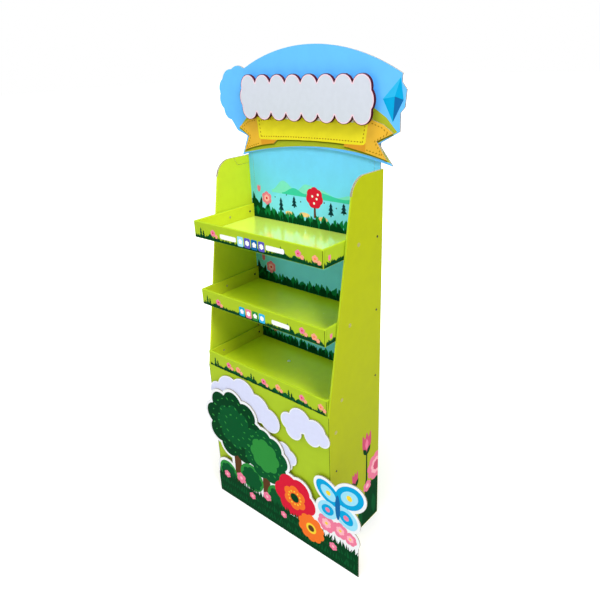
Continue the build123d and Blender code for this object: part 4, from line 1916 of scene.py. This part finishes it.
@dataclass(frozen=True)
class RivetSize:
    """One size of push rivet, in millimetres, with its finish."""

    name: str
    head: float
    height: float
    finish: MouldedPlastic
    shank: float = 2.5
    foot: float = 4.0
    sides: int = 20

    def profile(self, grip: float) -> list[Point]:
        """The half section.

        Args:
            grip: the thickness that the rivet holds together.

        Returns:
            Distances along the axis and radii, from the head's middle to the foot.
        """
        turns = [math.pi / 2 * i / 6 for i in range(2, 7)]
        dome = [(self.height * math.cos(turn), self.head * math.sin(turn)) for turn in turns]
        return [
            (self.height * 0.55, self.head * 0.14), (self.height, self.head * 0.26), *dome,
            (0.0, self.shank), (-grip, self.shank), (-grip, self.foot),
            (-grip - 0.9, self.foot * 0.9), (-grip - 2.2, 1.5),
        ]

    def stud(self, grip: float) -> bpy.types.Object:
        """One rivet along +x, its head's underside at 0.

        Args:
            grip: the thickness that the rivet holds together.

        Returns:
            The helper object.
        """
        sides, ring = self.sides, self.profile(grip)
        spins = [math.tau * i / sides for i in range(sides)]
        verts = [
            (along * MM, radius * math.cos(spin) * MM, radius * math.sin(spin) * MM)
            for along, radius in ring for spin in spins
        ]
        faces = [list(range(sides)), list(range(len(verts) - 1, len(verts) - sides - 1, -1))]
        for row in range(0, len(verts) - sides, sides):
            for i in range(sides):
                j = (i + 1) % sides
                faces.append([row + j, row + i, row + sides + i, row + sides + j])
        return plain_object("stud", verts, faces=faces)


@dataclass
class Rivets:
    """Round-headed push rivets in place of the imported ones. Its sizes are millimetres."""

    wide: RivetSize = RivetSize("wide", 6.0, 1.8, CLEAR_RIVET)
    small: RivetSize = RivetSize("small", 3.5, 1.4, SMALL_RIVET, foot=3.4)
    base_grip: float = 6.4
    tray_grip: float = 13.4

    def build(self, tree: StudTree) -> None:
        """Replaces each packed set of side rivets.

        Args:
            tree: the tree that sets the studs.
        """
        self.replace(tree, "rivets_base", self.base_grip, upright=True)
        for level in Level:
            self.replace(tree, f"rivets_{level.value}_tray", self.tray_grip, upright=False)

    def replace(self, tree: StudTree, node: str, grip: float, upright: bool) -> None:
        """Puts studs where the four rivets of a packed set are.

        Args:
            tree: the tree that sets the studs.
            node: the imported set.
            grip: the thickness that its rivets hold together.
            upright: whether the wide rivet stands over the small one, not before it.
        """
        low, high = (Vector(corner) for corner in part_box(node))
        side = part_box("outer_wrap")[1][0]
        wide, small = self.wide.head * MM, self.small.head * MM
        middle_y, middle_z = (low.y + high.y) / 2, (low.z + high.z) / 2
        places = {self.wide: (low.y + wide, middle_z), self.small: (high.y - small, middle_z)}
        if upright:
            places = {self.wide: (middle_y, high.z - wide), self.small: (middle_y, low.z + small)}
        for size, (y, z) in places.items():
            stud = size.stud(grip)
            points = [(sign * side, y, z) for sign in (-1, 1)]
            mesh = tree.run(plain_object("points", points), {
                "Stamp": stud, "Scale": 1.0, "Material": size.finish.material(),
            })
            mesh.shade_smooth()
            piece = settle(f"{node}_{size.name}_heads", mesh, "rivet_plastic")
            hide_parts(node)


@dataclass(frozen=True)
class Lamp:
    """A square soft light, in metres and watts."""

    name: str
    place: tuple[float, float, float]
    size: float
    power: float

    def build(self, target: Vector) -> None:
        """Hangs the lamp.

        Args:
            target: the point that it is aimed at.
        """
        light = bpy.data.lights.new(self.name, "AREA")
        light.size = self.size
        light.energy = self.power
        lamp = bpy.data.objects.new(self.name, light)
        lamp.location = self.place
        lamp.rotation_euler = (target - Vector(self.place)).to_track_quat("-Z", "Y").to_euler()
        bpy.context.scene.collection.objects.link(lamp)


@dataclass
class Studio:
    """Floor, lamps and the camera of the photograph, in metres and degrees."""

    eye: tuple[float, float, float] = (1.0625, -1.1323, 1.4401)
    azimuth: float = 41.79
    elevation: float = 23.58
    roll: float = -2.495
    focal_pixels: float = 566.99
    frame_pixels: float = 600
    sensor: float = 36.0
    floor_half: float = 30.0
    floor_grey: float = 0.86
    floor_roughness: float = 0.9
    glow_fade: tuple[float, float] = (0.5, 1.6)
    least_glow: float = 0.25
    ambient: float = 0.5
    reflection_drop: float = 0.2
    target: tuple[float, float, float] = (0, 0, 0.75)
    lamps: Sequence[Lamp] = (
        Lamp("key", (3.0, -1.1, 3.4), 1.2, 90.0),
        Lamp("fill", (-1.6, -3.2, 1.7), 1.8, 24.0),
        Lamp("top", (0.1, -0.7, 4.2), 1.6, 84.0),
    )

    def build(self) -> None:
        """Sets the studio."""
        self.floor()
        self.world()
        for lamp in self.lamps:
            lamp.build(Vector(self.target))
        self.camera()

    def floor(self) -> None:
        """A pale floor that keeps the shadow."""
        half = self.floor_half
        corners = [(x, y, 0) for x, y in band(-half, half, -half, half)]
        floor = plain_object("floor", corners, faces=[[0, 1, 2, 3]])
        material = bpy.data.materials.new("pale_floor")
        material.use_nodes = True
        shader = material.node_tree.nodes["Principled BSDF"]
        grey = self.floor_grey
        shader.inputs["Base Color"].default_value = (grey, grey, grey, 1)
        shader.inputs["Roughness"].default_value = self.floor_roughness
        graph = Graph(material.node_tree)
        ray = graph.add("ShaderNodeLightPath")
        x, y, _ = graph.place()
        away = (x * x + y * y).math("SQRT").fade(*self.glow_fade)
        reach = away * (1 - self.least_glow) + self.least_glow
        seen = Flow(graph, ray.outputs["Is Camera Ray"]) * reach
        shader.inputs["Emission Strength"].default_value = 1.0
        glow = graph.mix(seen, (0, 0, 0, 1), (1, 1, 1, 1))
        graph.link(glow, shader.inputs["Emission Color"])
        floor.data.materials.append(material)
        floor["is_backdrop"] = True

    def world(self) -> None:
        """White to the camera, a plain level to the object."""
        world = bpy.data.worlds.new("studio")
        bpy.context.scene.world = world
        world.use_nodes = True
        graph = Graph(world.node_tree)
        ray = graph.add("ShaderNodeLightPath")
        seen = Flow(graph, ray.outputs["Is Camera Ray"])
        glossy = Flow(graph, ray.outputs["Is Glossy Ray"])
        clear = Flow(graph, ray.outputs["Is Transmission Ray"])
        direct = (seen + clear).math("MINIMUM", 1.0) * (1 - self.ambient)
        level = direct + self.ambient - glossy * self.reflection_drop
        back = world.node_tree.nodes["Background"]
        back.inputs["Color"].default_value = (1, 1, 1, 1)
        graph.link(level, back.inputs["Strength"])

    def camera(self) -> None:
        """The photograph's camera."""
        az, el, roll = (math.radians(v) for v in (self.azimuth, self.elevation, self.roll))
        ahead = Vector((
            -math.sin(az) * math.cos(el), math.cos(az) * math.cos(el), -math.sin(el),
        ))
        right = ahead.cross(Vector((0, 0, 1))).normalized()
        up = right.cross(ahead)
        x_axis = right * math.cos(roll) + up * math.sin(roll)
        y_axis = up * math.cos(roll) - right * math.sin(roll)
        data = bpy.data.cameras.new("camera")
        data.sensor_width = self.sensor
        data.sensor_fit = "HORIZONTAL"
        data.lens = self.focal_pixels * data.sensor_width / self.frame_pixels
        data.clip_end = 100.0
        camera = bpy.data.objects.new("camera", data)
        turn = Matrix((x_axis, y_axis, -ahead)).transposed().to_4x4()
        camera.matrix_world = Matrix.Translation(Vector(self.eye)) @ turn
        bpy.context.scene.collection.objects.link(camera)
        bpy.context.scene.camera = camera


def main() -> None:
    """Builds the scene."""
    logging.basicConfig(level=logging.INFO, format="%(name)s %(message)s")
    bpy.context.scene.view_settings.view_transform = "Standard"
    Studio().build()
    BoardDresser(frame["nodes"]).build()
    rows = PathTree("stamp_row")
    base_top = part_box("tray_bottom")[1][2] - TRAY_RISE
    HeaderArt(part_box("outer_wrap")[1][2]).build(rows)
    CardArt([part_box(f"shelf_pad_{level.value}")[1][2] / MM for level in Level]).build(rows)
    for number, level in enumerate(Level):
        TrayArt(level, 40 + 5 * number).build(rows)
    for sign in (-1, 1):
        SideArt(sign).build()
    FrontGapShade(base_top).build()
    GardenArt(base_top).build(rows)
    Rivets().build(StudTree("push_rivets"))
    bpy.context.view_layer.update()
    plain = [[list(corner) for corner in box] for box in (cad_bounds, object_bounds())]


if __name__ == "__main__":
    main()
